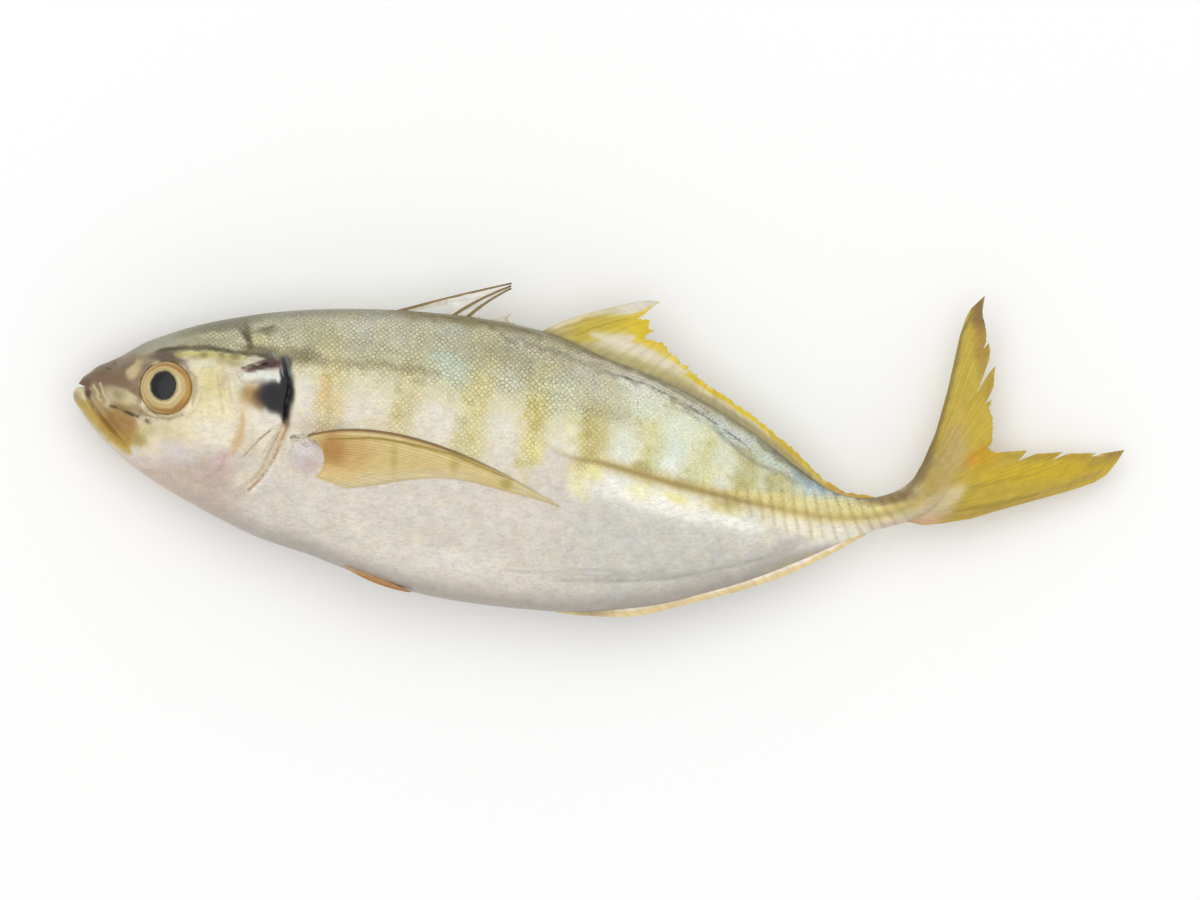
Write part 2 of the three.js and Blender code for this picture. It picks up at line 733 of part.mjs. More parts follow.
function fishSolid() {
  let fish = bodySolid();
  const joined = [
    midFin(CAUDAL, [0.06, 0.565, 0.89, 0.94], [0, 0.12, 0.28, 0.5, 0.75, 0.86, 0.93, 1], 1.6, 0.5),
    midFin(SECOND_DORSAL, [], [0, 0.15, 0.5, 0.8, 1], 1.9, 0.6),
    midFin(ANAL, [], [0, 0.5, 1], 1.9, 0.7),
    pectoralFin(1),
    pectoralFin(-1),
    pelvicFin(1),
    pelvicFin(-1),
    finSkin(FIRST_DORSAL_SKIN, [FIRST_DORSAL_TEAR]),
    finSkin(FIRST_DORSAL_STUB, []),
    ...FIRST_DORSAL_SPINES.map(spine),
  ];
  for (const fin of joined) fish = fish.add(fin);
  for (const side of [1, -1]) {
    for (const groove of GROOVES) fish = fish.subtract(grooveCutter(groove, side));
    fish = fish.subtract(eyeSolid(side, EYE_GAP, 0)).add(eyeSolid(side, 0, EYE_SINK));
  }
  fish = fish.subtract(lipNotch()).subtract(tableSolid());
  return fish.decompose().sort((a, b) => b.volume() - a.volume())[0];
}

const fish = new THREE.Mesh(geometryOf(fishSolid()), SKIN);
fish.name = "fish";

const part = new THREE.Group();
part.add(fish);

export default part;
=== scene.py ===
"""The looks of a whole raw yellowtail scad, 250 mm long, lying on its right side.

Every surface is worked out in millimetres, in the frame of the CAD part, and turned to metres as it goes into
its mesh. Side view means a look straight down on the left flank, with x from the snout to the tail and y from
the belly to the back.
"""

from __future__ import annotations

import logging
import math
from collections.abc import Callable, Mapping, Sequence
from dataclasses import dataclass, field
from enum import Enum
from functools import partial

import bpy
import numpy as np
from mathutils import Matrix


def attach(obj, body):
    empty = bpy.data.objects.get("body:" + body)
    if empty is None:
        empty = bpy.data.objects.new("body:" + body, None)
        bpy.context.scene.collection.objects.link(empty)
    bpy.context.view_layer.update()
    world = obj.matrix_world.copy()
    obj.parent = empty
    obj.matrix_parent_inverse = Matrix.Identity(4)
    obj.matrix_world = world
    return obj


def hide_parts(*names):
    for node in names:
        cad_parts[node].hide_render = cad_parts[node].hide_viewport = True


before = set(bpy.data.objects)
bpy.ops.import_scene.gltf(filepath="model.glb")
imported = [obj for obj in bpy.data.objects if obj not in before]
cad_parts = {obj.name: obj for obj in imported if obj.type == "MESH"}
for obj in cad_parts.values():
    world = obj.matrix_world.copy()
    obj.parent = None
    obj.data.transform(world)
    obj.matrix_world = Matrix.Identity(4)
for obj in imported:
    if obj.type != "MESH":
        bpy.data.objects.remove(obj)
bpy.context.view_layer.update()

log = logging.getLogger("fish")

Array = np.ndarray
Point = tuple[float, float]
Line = tuple[Point, ...]
Inputs = Mapping[str | int, object] | Sequence[object]

MM = 0.001
CARRIER = "root"
NODE = "fish"

# The fish's own mid-plane above the table, which sinks towards the head and the tail
MID_PLANE_HEIGHT = 16.6
MID_PLANE_SAG = 10.0
SAG_START_X = -20.0
SAG_LENGTH = 145.0

# Stations from the notch between the lips to the end of the tail's flesh: the back's point x, y, the belly's
# point x, y, and half the width there
BODY_STATIONS = (
    (-122.2, 14.8, -122.2, 14.8, 0), (-122.9, 15.9, -123.5, 14.6, 1.6), (-122.7, 17.1, -124.9, 13.8, 2.6),
    (-121.4, 18.1, -124.8, 11.7, 3.5), (-119.3, 19.7, -123.3, 9.3, 4.7), (-116.4, 20.9, -120.7, 5.6, 6),
    (-112.8, 22.6, -117.4, 1.8, 7.6), (-108.1, 25.3, -112.8, -2.4, 9.2), (-102.4, 27.4, -107.4, -6.5, 10.7),
    (-95.3, 29.5, -100.5, -10.8, 12.3), (-86.8, 31.2, -92, -15.5, 14), (-76.8, 32.6, -81.5, -20.7, 15.4),
    (-65.4, 33.3, -69.2, -24.9, 16.4), (-54, 33.3, -55.9, -30, 16.9), (-42.6, 32.7, -42.6, -34.2, 17),
    (-30.8, 31.5, -29.8, -36.5, 16.7), (-19.9, 29.6, -17.5, -37.9, 15.9), (-9.4, 26.8, -5.6, -38.6, 14.7),
    (1, 22, 5.3, -37.9, 13.3), (11.4, 17.9, 15.2, -36.6, 11.8), (21.4, 13.3, 24.3, -34.3, 10.2),
    (30.9, 7.8, 32.3, -32.1, 8.6), (39.4, 1.9, 39.7, -29.6, 7.1), (47, -4.2, 46.8, -26.8, 5.8),
    (54.1, -9.2, 53.2, -24, 4.9), (59.8, -11.2, 58.9, -21.5, 4.3), (64.6, -11.4, 63.6, -19.8, 4.1),
    (68.4, -10.6, 67.4, -18.7, 3.9), (71.2, -9.4, 71.2, -17.7, 3.6), (73.8, -7.5, 75, -16.6, 3.2),
    (76, -5, 78.6, -14.9, 2.4), (77.9, -2.6, 81.7, -12.5, 1.6), (79.8, -1.2, 83.6, -9.6, 0.9),
    (82.9, -4.6, 82.9, -4.6, 0),
)
LIP_STATION = 4.0
UPPER_EGG = 0.1
TAIL_SHARPNESS = 0.25

# The points that close the skin in the mouth and at the end of the tail's flesh
FIRST_POINT: Point = (-122.0, 14.8)
LAST_POINT: Point = (82.9, -4.6)

# The notch between the lips: its corner, how far each wall runs forward for a millimetre up or down, and
# the heights from the corner between which it is kept open
NOTCH: Point = (-121.8, 14.8)
NOTCH_UPPER_WALL = 2.2
NOTCH_LOWER_WALL = 26.0
NOTCH_TOP = 2.6
NOTCH_BOTTOM = -0.25

LATERAL_LINE: Line = (
    (-76.3, 22.2), (-64, 21.9), (-47.4, 20.8), (-33.1, 16), (-21.3, 7.5), (-9.4, -0.9), (0.8, -3.3),
    (13.3, -6.9), (27.3, -10.6), (39.7, -13.4), (52, -15.8), (62, -16), (70, -14.6), (77, -11.4), (83, -6),
)
SCUTE_PITCH = 2.8
SCUTE_RIDGE = 0.6
SCUTE_RIB = 0.5
SCUTE_SLANT = 0.35

# The lower limit of the dark, clearly scaled back in side view
DARK_BACK_EDGE: Line = (
    (-84, 22.5), (-73.5, 23), (-56.9, 20.4), (-42.6, 17.6), (-26, 16.5), (-14.2, 13.2), (0, 9.8),
    (9.5, 11.4), (19, 13.2), (32, 5.6), (50, -6.8), (62, -11.8),
)

EYE_CENTRE: Point = (-102.6, 14.5)
EYE_RADIUS = 6.4
EYE_HALF_THICKNESS = 2.9
EYE_BALL_DEPTH = 1.45
EYE_LEAN: Point = (-0.2, 0.12)
EYE_RIM_RADIUS = 7.0
EYE_RIM_HEIGHT = 0.35
EYE_RIM_HALF_WIDTH = 0.55
EYE_SOCKET_DEPTH = 2.2

# The net of random numbers under all soft noise: its side, and a start that keeps every place above 0
NOISE_KNOTS = 64
NOISE_START = 500.0

# The square, in square millimetres, that rounds the edge where the skin is pressed flat on the table
TABLE_SOFTNESS = 0.03

# Settings of a shader's reckoning nodes
TIMES = {"operation": "MULTIPLY"}
TIMES_PLUS = {"operation": "MULTIPLY_ADD"}
SCALE = {"operation": "SCALE"}
BLEND = {"data_type": "RGBA"}


class Slot(Enum):
    """The record's material slots."""

    SKIN = "skin"
    FIN = "fin"
    EYE = "eye"


class Side(Enum):
    """The two flanks: the left one shows, and the fish lies on the right one."""

    LEFT = 1
    RIGHT = -1


# Curves and masks


def smooth(value: Array, low: float, high: float) -> Array:
    """A soft step: t*t*(3 - 2t), where t goes from 0 at low to 1 at high.

    Args:
        value: The numbers to step.
        low: Where the step starts.
        high: Where it ends, which may lie below low.

    Returns:
        Numbers from 0 to 1.
    """
    t = np.clip((np.asarray(value, float) - low) / (high - low), 0.0, 1.0)
    return t * t * (3.0 - 2.0 * t)


def span(value: Array, start: float, full: float, fade: float, end: float) -> Array:
    """A soft step up from start to full, and a soft step down from fade to end."""
    return smooth(value, start, full) * (1.0 - smooth(value, fade, end))


def bell(value: Array, half_width: float | Array, power: float = 1.0) -> Array:
    """exp(-(v / w)^2p): 1 in the middle, with a flat top and steep sides where the power is above 1."""
    return np.exp(-(((np.asarray(value, float) / half_width) ** 2) ** power))


def spline(rows: Sequence[Sequence[float]], u: Array) -> Array:
    """Catmull-Rom spline through the rows of a table.

    Each stretch between two rows is the cubic whose slope at a row is half the step between its neighbours.

    Args:
        rows: One row of numbers for each knot.
        u: Places, counted in rows.

    Returns:
        One row of numbers for each place.
    """
    table = np.asarray(rows, float)
    last = len(table) - 1
    ends = np.vstack([2 * table[0] - table[1], table, 2 * table[-1] - table[-2]])
    u = np.asarray(u, float)
    i = np.clip(np.floor(u).astype(int), 0, last - 1)
    f = (u - i)[..., None]
    p0, p1, p2, p3 = ends[i], ends[i + 1], ends[i + 2], ends[i + 3]
    cubic = p2 - p0 + f * (2 * p0 - 5 * p1 + 4 * p2 - p3 + f * (3 * (p1 - p2) + p3 - p0))
    return p1 + 0.5 * f * cubic


def wander(x: Array, y: Array, size: float, seed: int) -> Array:
    """Smooth noise from -1 to 1: random numbers on a square net, blended by soft steps between its knots.

    Args:
        x: Places along the net.
        y: Places across it.
        size: The net's pitch.
        seed: Picks the random numbers.

    Returns:
        One number for each place.
    """
    net = np.random.default_rng(seed).uniform(-1.0, 1.0, (NOISE_KNOTS, NOISE_KNOTS))
    gx = np.asarray(x, float) / size + NOISE_START
    gy = np.asarray(y, float) / size + NOISE_START
    ix, iy = np.floor(gx).astype(int), np.floor(gy).astype(int)
    fx, fy = smooth(gx - ix, 0, 1), smooth(gy - iy, 0, 1)
    ix, iy, next_x, next_y = (knot % NOISE_KNOTS for knot in (ix, iy, ix + 1, iy + 1))
    near = net[ix, iy] * (1 - fx) + net[next_x, iy] * fx
    far = net[ix, next_y] * (1 - fx) + net[next_x, next_y] * fx
    return near * (1 - fy) + far * fy


@dataclass(frozen=True)
class NearLine:
    """How points lie to a curve: the distance, positive on its left, the share of its length, and the arc."""

    distance: Array
    share: Array
    arc: Array


def near_line(line: Line, x: Array, y: Array, reach: float, knots: int = 10) -> NearLine:
    """The nearest point of a curve to each of many points.

    The curve becomes short straight stretches, each point is dropped square onto every stretch, and the
    shortest drop wins. Points out of reach keep a distance of ten times the reach.

    Args:
        line: The curve's knots.
        x: The points' x.
        y: The points' y.
        reach: How far from the curve's box a point may lie.
        knots: Stretches for each step between two knots.

    Returns:
        Distance, share and arc for each point.
    """
    rows = np.asarray(line, float)
    curve = spline(rows, np.linspace(0, len(rows) - 1, knots * (len(rows) - 1) + 1))
    start, step = curve[:-1], np.diff(curve, axis=0)
    length2 = (step**2).sum(1)
    arc_start = np.concatenate([[0.0], np.cumsum(np.sqrt(length2))])
    low, high = curve.min(0) - reach, curve.max(0) + reach
    chosen = np.flatnonzero((x > low[0]) & (x < high[0]) & (y > low[1]) & (y < high[1]))
    distance = np.full(x.shape, 10.0 * reach)
    arc = np.zeros(x.shape)
    for part in np.array_split(chosen, max(1, len(chosen) // 15000)):
        if not len(part):
            continue
        dx = x[part, None] - start[None, :, 0]
        dy = y[part, None] - start[None, :, 1]
        t = np.clip((dx * step[:, 0] + dy * step[:, 1]) / length2, 0.0, 1.0)
        away = (dx - t * step[:, 0]) ** 2 + (dy - t * step[:, 1]) ** 2
        best = away.argmin(1)
        row = np.arange(len(part))
        left = step[best, 0] * dy[row, best] - step[best, 1] * dx[row, best]
        distance[part] = np.sqrt(away[row, best]) * np.where(left >= 0, 1.0, -1.0)
        arc[part] = arc_start[best] + t[row, best] * np.sqrt(length2[best])
    return NearLine(distance, arc / arc_start[-1], arc)


def height_of(line: Line, x: Array) -> Array:
    """The y of a line whose x only grows, at each x.

    Args:
        line: The line.
        x: The places.

    Returns:
        The y at each place.
    """
    rows = np.asarray(line, float)
    dense = spline(rows, np.linspace(0, len(rows) - 1, 12 * len(rows)))
    return np.interp(x, dense[:, 0], dense[:, 1])


def mid_plane(x: Array) -> Array:
    """Height of the fish's plane of symmetry above the table: the most there is, less a parabola in x."""
    return MID_PLANE_HEIGHT - MID_PLANE_SAG * ((np.asarray(x, float) - SAG_START_X) / SAG_LENGTH) ** 2


def rest_on_table(z: Array) -> Array:
    """Presses heights flat on the table, by the mean of z and the root of z squared plus a small square."""
    return 0.5 * (z + np.sqrt(z * z + TABLE_SOFTNESS))


# Colours


def hex_values(text: str) -> Array:
    """The three numbers from 0 to 1 of a colour such as #cfc9b0."""
    return np.array([int(text[i : i + 2], 16) for i in (1, 3, 5)], float) / 255.0


def to_linear(values: Array) -> Array:
    """Turns sRGB numbers to linear ones, by the standard curve with its short straight foot.

    Args:
        values: sRGB numbers from 0 to 1, with three in each row.

    Returns:
        Linear numbers with an alpha of 1 added to each row.
    """
    values = np.clip(values, 0.0, 1.0)
    bent = np.where(values <= 0.04045, values / 12.92, ((values + 0.055) / 1.055) ** 2.4)
    return np.concatenate([bent, np.ones(bent.shape[:-1] + (1,))], axis=-1)


def socket_colour(text: str) -> tuple[float, ...]:
    """A hex colour as a shader's socket takes it: linear, with an alpha of 1."""
    return tuple(to_linear(hex_values(text)))


@dataclass(frozen=True)
class Patch:
    """A soft oval of colour in side view. Its cover is exp(-(d^2)^edge), with d measured in radii."""

    colour: str
    centre: Point
    radii: Point
    turn: float = 0.0
    strength: float = 1.0
    edge: float = 1.5

    def cover(self, x: Array, y: Array) -> Array:
        """How much of the colour lies at each point.

        Args:
            x: The points' x in side view.
            y: Their y.

        Returns:
            A share for each point.
        """
        angle = math.radians(self.turn)
        dx, dy = x - self.centre[0], y - self.centre[1]
        along = dx * math.cos(angle) + dy * math.sin(angle)
        across = dy * math.cos(angle) - dx * math.sin(angle)
        d2 = (along / self.radii[0]) ** 2 + (across / self.radii[1]) ** 2
        return self.strength * np.exp(-(d2**self.edge))


@dataclass(frozen=True)
class Streak:
    """A line of colour in side view, that many millimetres wide each way, and thinner towards its ends."""

    colour: str
    line: Line
    half_width: float
    strength: float = 1.0
    edge: float = 1.0

    def cover(self, x: Array, y: Array) -> Array:
        """How much of the colour lies at each point.

        Args:
            x: The points' x in side view.
            y: Their y.

        Returns:
            A share for each point.
        """
        near = near_line(self.line, x, y, 3.0 * self.half_width)
        width = self.half_width * (0.35 + 0.65 * np.sin(np.pi * np.clip(near.share, 0.0, 1.0)) ** 0.6)
        return self.strength * np.exp(-(((near.distance / width) ** 2) ** self.edge))


class Coat:
    """A colour for every vertex, laid on in coats, each through its own cover."""

    def __init__(self, x: Array, y: Array, ground: str) -> None:
        """Starts with one ground colour all over.

        Args:
            x: The vertices' x in side view.
            y: Their y.
            ground: The colour.
        """
        self.x = x
        self.y = y
        self.values = np.tile(hex_values(ground), (len(x), 1))

    def lay(self, colour: str, cover: Array) -> None:
        """Moves the colour towards another one, by the cover's share at each vertex."""
        share = np.clip(cover, 0.0, 1.0)[:, None]
        self.values += (hex_values(colour) - self.values) * share

    def lay_marks(self, marks: Sequence[Patch | Streak], waver: float = 0.0, seed: int = 1) -> None:
        """Lays patches and streaks in their order, with outlines that waver.

        Args:
            marks: The patches and streaks.
            waver: The most that an outline moves, in millimetres.
            seed: The waves' seed.
        """
        x = self.x + waver * wander(self.x, self.y, 1.7, seed)
        y = self.y + waver * wander(self.x, self.y, 1.7, seed + 50)
        for mark in marks:
            self.lay(mark.colour, mark.cover(x, y))

    def linear(self) -> Array:
        """The colours as the shader wants them."""
        return to_linear(self.values)


# Meshes


@dataclass
class Surface:
    """A closed mesh in millimetres, with its corner list and what its points carry."""

    points: Array
    quads: Array
    triangles: Array = field(default_factory=lambda: np.zeros((0, 3), int))
    uv: Array | None = None
    colours: dict[str, Array] = field(default_factory=dict)
    vectors: dict[str, Array] = field(default_factory=dict)

    def for_all(self, values: Array) -> Array:
        """Values for all points from those of the grid's points.

        The end points of a tube, which alone has triangles, take the first and the last value, and the
        lower face of a sheet takes what the upper one has.

        Args:
            values: One row of numbers for each point of the grid.

        Returns:
            One row for each point of the surface.
        """
        rows = values.reshape(-1, values.shape[-1])
        return np.vstack([rows, rows[[0, -1]] if len(self.triangles) else rows])

    def dress(self, paint: Array, pattern: Array) -> None:
        """Gives the points their linear colours and their places in the pattern, as the UV map holds them."""
        self.colours["paint"] = self.for_all(paint)
        self.uv = self.for_all(pattern)

    def volume(self) -> float:
        """The enclosed volume: a sixth of the sum of each triangle's corner product."""
        halves = [self.triangles, self.quads[:, [0, 1, 2]], self.quads[:, [0, 2, 3]]]
        corners = self.points[np.vstack(halves)]
        return float(np.einsum("ij,ij->i", corners[:, 0], np.cross(corners[:, 1], corners[:, 2])).sum() / 6)

    def to_object(self, name: str, material: bpy.types.Material, sharp_over: float) -> bpy.types.Object:
        """Makes the Blender object, with every face outwards.

        Args:
            name: The piece's name.
            material: Its finish.
            sharp_over: Edges that bend by more degrees than this stay sharp.

        Returns:
            The object, at the origin.
        """
        if self.volume() < 0:
            self.quads = self.quads[:, ::-1]
            self.triangles = self.triangles[:, ::-1]
        mesh = bpy.data.meshes.new(name)
        mesh.vertices.add(len(self.points))
        mesh.vertices.foreach_set("co", (self.points * MM).astype(np.float32).ravel())
        corners = np.concatenate([self.quads.ravel(), self.triangles.ravel()]).astype(np.int32)
        starts = np.concatenate(
            [4 * np.arange(len(self.quads)), 4 * len(self.quads) + 3 * np.arange(len(self.triangles))]
        )
        mesh.loops.add(len(corners))
        mesh.loops.foreach_set("vertex_index", corners)
        mesh.polygons.add(len(starts))
        mesh.polygons.foreach_set("loop_start", starts.astype(np.int32))
        mesh.update(calc_edges=True)
        if self.uv is not None:
            layer = mesh.uv_layers.new(name="mm")
            layer.data.foreach_set("uv", self.uv[corners].astype(np.float32).ravel())
        kinds = (("FLOAT_COLOR", "color", self.colours), ("FLOAT_VECTOR", "vector", self.vectors))
        for kind, key, carried in kinds:
            for label, values in carried.items():
                layer = mesh.attributes.new(label, kind, "POINT")
                layer.data.foreach_set(key, values.astype(np.float32).ravel())
        mesh.shade_smooth()
        mesh.set_sharp_from_angle(angle=math.radians(sharp_over))
        mesh.validate()
        mesh.materials.append(material)
        piece = bpy.data.objects.new(name, mesh)
        bpy.context.scene.collection.objects.link(piece)
        return piece


def grid_quads(rows: int, columns: int, wrap: bool) -> Array:
    """Corner numbers of the quads between the points of a grid that is stored row by row.

    Args:
        rows: Rows of points.
        columns: Points in a row.
        wrap: Whether the last column joins the first.

    Returns:
        Four corner numbers for each quad.
    """
    r, c = np.meshgrid(np.arange(rows - 1), np.arange(columns if wrap else columns - 1), indexing="ij")
    after = (c + 1) % columns
    quads = [r * columns + c, r * columns + after, (r + 1) * columns + after, (r + 1) * columns + c]
    return np.stack(quads, -1).reshape(-1, 4)


def closed_tube(rings: Array, first: Array, last: Array) -> Surface:
    """Joins rings of points into a tube that a point closes at each end.

    Args:
        rings: Points in the order ring, place round it, x y z.
        first: The point before the first ring.
        last: The point after the last ring.

    Returns:
        The closed surface, whose points are the rings', then first, then last.
    """
    count, around = rings.shape[:2]
    points = np.vstack([rings.reshape(-1, 3), first, last])
    k = np.arange(around)
    after = (k + 1) % around
    start = np.stack([np.full(around, count * around), after, k], -1)
    tail = (count - 1) * around
    end = np.stack([np.full(around, count * around + 1), tail + k, tail + after], -1)
    return Surface(points, grid_quads(count, around, True), np.vstack([start, end]))


def closed_sheet(top: Array, bottom: Array) -> Surface:
    """Joins two grids of points into a sheet whose four edges are walled.

    Args:
        top: Points of the upper face in the order column, row, x y z.
        bottom: Points of the lower face, in the same order.

    Returns:
        The closed surface, whose points are top's, then bottom's.
    """
    columns, rows = top.shape[:2]
    count = columns * rows
    face = grid_quads(columns, rows, False)
    number = np.arange(count).reshape(columns, rows)
    rim = np.concatenate([number[:-1, 0], number[-1, :-1], number[:0:-1, -1], number[0, :0:-1]])
    after = np.roll(rim, -1)
    wall = np.stack([rim, rim + count, after + count, after], -1)
    points = np.vstack([top.reshape(-1, 3), bottom.reshape(-1, 3)])
    return Surface(points, np.vstack([face, face[:, ::-1] + count, wall]))


# Finishes


def add_node(
    material: bpy.types.Material, kind: str, inputs: Inputs = (), output: str | int = 0, **settings: object
) -> bpy.types.NodeSocket | None:
    """Adds a node to a material, sets it up, and fills its sockets.

    Args:
        material: The material.
        kind: The node's type, without the word ShaderNode in front.
        inputs: Sockets to link or values, in the order of the inputs, or by name or number.
        output: The output that is wanted, by name or number.
        **settings: The node's own properties.

    Returns:
        That output, or nothing from the node that ends the tree.
    """
    node = material.node_tree.nodes.new("ShaderNode" + kind)
    for key, value in settings.items():
        setattr(node, key, value)
    for key, value in inputs.items() if isinstance(inputs, Mapping) else enumerate(inputs):
        if isinstance(value, bpy.types.NodeSocket):
            material.node_tree.links.new(value, node.inputs[key])
        else:
            node.inputs[key].default_value = value
    return node.outputs[output] if len(node.outputs) else None


def new_material(name: str) -> tuple[bpy.types.Material, Callable[..., bpy.types.NodeSocket | None]]:
    """Makes a node material that is still empty.

    Args:
        name: The material's name.

    Returns:
        The material, and add_node bound to it.
    """
    material = bpy.data.materials.new(name)
    material.use_nodes = True
    material.node_tree.nodes.clear()
    return material, partial(add_node, material)


@dataclass(frozen=True)
class SkinFinish:
    """Fish skin, wet and scaled: small scales edged in dark pigment over silver, under a thin film of slime.

    The eye gets an uneven diamond net on the back that fades on the belly, dark specks over the rear, fine
    creases and the lateral line, cloudy warm and cold tones, and a soft satin gloss. The net's cells are
    0.9 mm a side, a little less than the real rows of scales, which are about 1.1 mm apart. The specks, 0.1
    to 0.2 mm on a real fish, are drawn 0.6 mm wide so that they show.
    """

    name: str = "wet_scaled_fish_skin"
    scale_side: float = 0.92
    scale_unevenness: float = 0.6
    net_width: float = 0.2
    lattice_turn: float = math.radians(48.0)
    net_tint: tuple[float, float, float] = (0.42, 0.39, 0.26)
    gap_tint: tuple[float, float, float] = (0.7, 0.65, 0.52)
    speck_tint: tuple[float, float, float] = (0.6, 0.6, 0.56)
    warm_tint: tuple[float, float, float, float] = (1.02, 1.0, 0.93, 1.0)
    cold_tint: tuple[float, float, float, float] = (0.985, 1.0, 1.03, 1.0)
    line_colour: str = "#9f8950"
    hair_colour: str = "#a9a297"
    roughness: float = 0.42
    film: float = 0.2
    film_roughness: float = 0.3
    ior: float = 1.36

    def build(self) -> bpy.types.Material:
        """Links the nodes, from the vertices' paint and patterns in millimetres along the skin.

        Returns:
            The skin's material.
        """
        material, node = new_material(self.name)
        paint = node("Attribute", attribute_name="paint")
        ink = node("Attribute", attribute_name="ink")
        share, line, fold = (
            node("SeparateXYZ", [node("Attribute", (), "Vector", attribute_name=name)]).node.outputs
            for name in ("cover", "keel", "crease")
        )
        place = node("UVMap", uv_map="mm")
        clouds, blotches, grain, dust = (
            node("TexNoise", {"Vector": place, "Scale": 1.0 / size, "Detail": detail, "Roughness": rough})
            for size, detail, rough in ((6.0, 5.0, 0.62), (2.6, 4.0, 0.68), (0.8, 3.0, 0.7), (0.62, 2.0, 0.6))
        )

        # The scale net: cells of a turned, swayed square lattice, with a dark seam between them
        sway = node("TexNoise", {"Vector": place, "Scale": 0.5, "Detail": 2.0}, "Color")
        swayed = node("Mix", {0: 0.08, 4: place, 5: sway}, 1, data_type="VECTOR")
        turned = node("Mapping", {"Vector": swayed, "Rotation": (0.0, 0.0, self.lattice_turn)})
        cells = {"Vector": turned, "Scale": 1.0 / self.scale_side, "Randomness": self.scale_unevenness}
        edge = node("TexVoronoi", cells, feature="DISTANCE_TO_EDGE", voronoi_dimensions="2D")
        cell = node("TexVoronoi", cells, "Color", feature="F1", voronoi_dimensions="2D")
        seam = node("MapRange", (edge, 0.0, self.net_width, 1.0, 0.0))

        # A tone for each scale, cloudy tones over them, and warm and cold tints
        tone = node("Mix", {0: share[0], 2: 1.0, 3: node("MapRange", (cell, 0.0, 1.0, 0.88, 1.17))})
        for noise, low, high in ((clouds, 0.92, 1.06), (blotches, 0.89, 1.09), (grain, 0.93, 1.06)):
            tone = node("Math", (tone, node("MapRange", (noise, 0.3, 0.7, low, high))), **TIMES)
        mottling = node("TexNoise", {"Vector": turned, "Scale": 0.2, "Detail": 4.0, "Roughness": 0.7})
        warmth = node("MapRange", (mottling, 0.36, 0.64, 0.0, 1.0))
        tint = node("Mix", {0: warmth, 6: self.warm_tint, 7: self.cold_tint}, 2, **BLEND)
        colour = node("VectorMath", (paint, tint), **TIMES)
        colour = node("VectorMath", {0: colour, "Scale": tone}, **SCALE)

        # Short slanting hairs of grey, as the crumpled edges of the belly's silver film show
        hairs = 0.0
        for angle, size in ((0.6, 1.7), (-1.0, 1.9)):
            slanted = {"Vector": place, "Rotation": (0.0, 0.0, angle), "Scale": (0.8, 2.4, 1.0)}
            combed = node("Mapping", slanted)
            hair = node("TexNoise", {"Vector": combed, "Scale": 1.0 / size, "Detail": 5.0, "Roughness": 0.72})
            hairs = node("Math", (hairs, hair), operation="MAXIMUM")
        hair_share = node("Math", (node("MapRange", (hairs, 0.52, 0.74, 0.0, 0.62)), share[1]), **TIMES)
        colour = node("Mix", {0: hair_share, 6: colour, 7: socket_colour(self.hair_colour)}, 2, **BLEND)

        # The scutes' slanting gaps, from the place along the lateral line and the distance to it
        slant = node("Math", (line[0], SCUTE_SLANT, line[1]), **TIMES_PLUS)
        slant = node("Math", (clouds, 1.6, slant), **TIMES_PLUS)
        beside = node("Math", (slant, SCUTE_PITCH / 2), operation="PINGPONG")
        gap = node("MapRange", (beside, 0.0, 0.8, 1.0, 0.0))

        # Specks of dark pigment, the net and the gaps darken the colour, more in some places than in others
        specks = node("MapRange", (dust, 0.5, 0.66, 0.0, 1.0))
        patchy = node("MapRange", (blotches, 0.36, 0.62, 0.35, 1.15))
        specks, net, gap = (
            node("Math", (node("Math", (pattern, where), **TIMES), patchy), **TIMES)
            for pattern, where in ((specks, share[2]), (seam, share[0]), (gap, fold[2]))
        )
        for cover, dark in ((specks, self.speck_tint), (net, self.net_tint), (gap, self.gap_tint)):
            darkened = node("VectorMath", (colour, dark), **TIMES)
            colour = node("Mix", {0: cover, 6: colour, 7: darkened}, 2, **BLEND)

        # The lateral line and the creases are finer than the mesh, so they come from distances to them
        ragged = node("Math", (grain, 1.1, -0.55), **TIMES_PLUS)
        away, near_fold = (
            node("Math", (ragged, depth, node("Math", [distance], operation="ABSOLUTE")), **TIMES_PLUS)
            for depth, distance in ((0.5, line[0]), (1.5, fold[0]))
        )
        stripe = node("Math", (node("MapRange", (away, 0.1, 1.0, 1.0, 0.0)), line[2]), **TIMES)
        broken = node("Math", (node("MapRange", (blotches, 0.4, 0.55, 0.15, 1.0)), fold[1]), **TIMES)
        inked = node("Math", (node("MapRange", (near_fold, 0.2, 1.6, 1.0, 0.0)), broken), **TIMES)
        for cover, over in ((stripe, socket_colour(self.line_colour)), (inked, ink)):
            colour = node("Mix", {0: cover, 6: colour, 7: over}, 2, **BLEND)

        relief = node("Math", (inked, 0.8, node("Math", (hairs, 0.5, net), **TIMES_PLUS)), **TIMES_PLUS)
        bump = node("Bump", {"Strength": 0.35, "Distance": 0.0001, "Height": relief}, invert=True)
        wet_skin = {
            "Base Color": colour,
            "Roughness": node("MapRange", (clouds, 0.3, 0.7, self.roughness - 0.07, self.roughness + 0.09)),
            "IOR": self.ior,
            "Coat Weight": self.film,
            "Coat Roughness": self.film_roughness,
            "Coat IOR": 1.33,
            "Normal": bump,
        }
        node("OutputMaterial", {"Surface": node("BsdfPrincipled", wet_skin)})
        return material


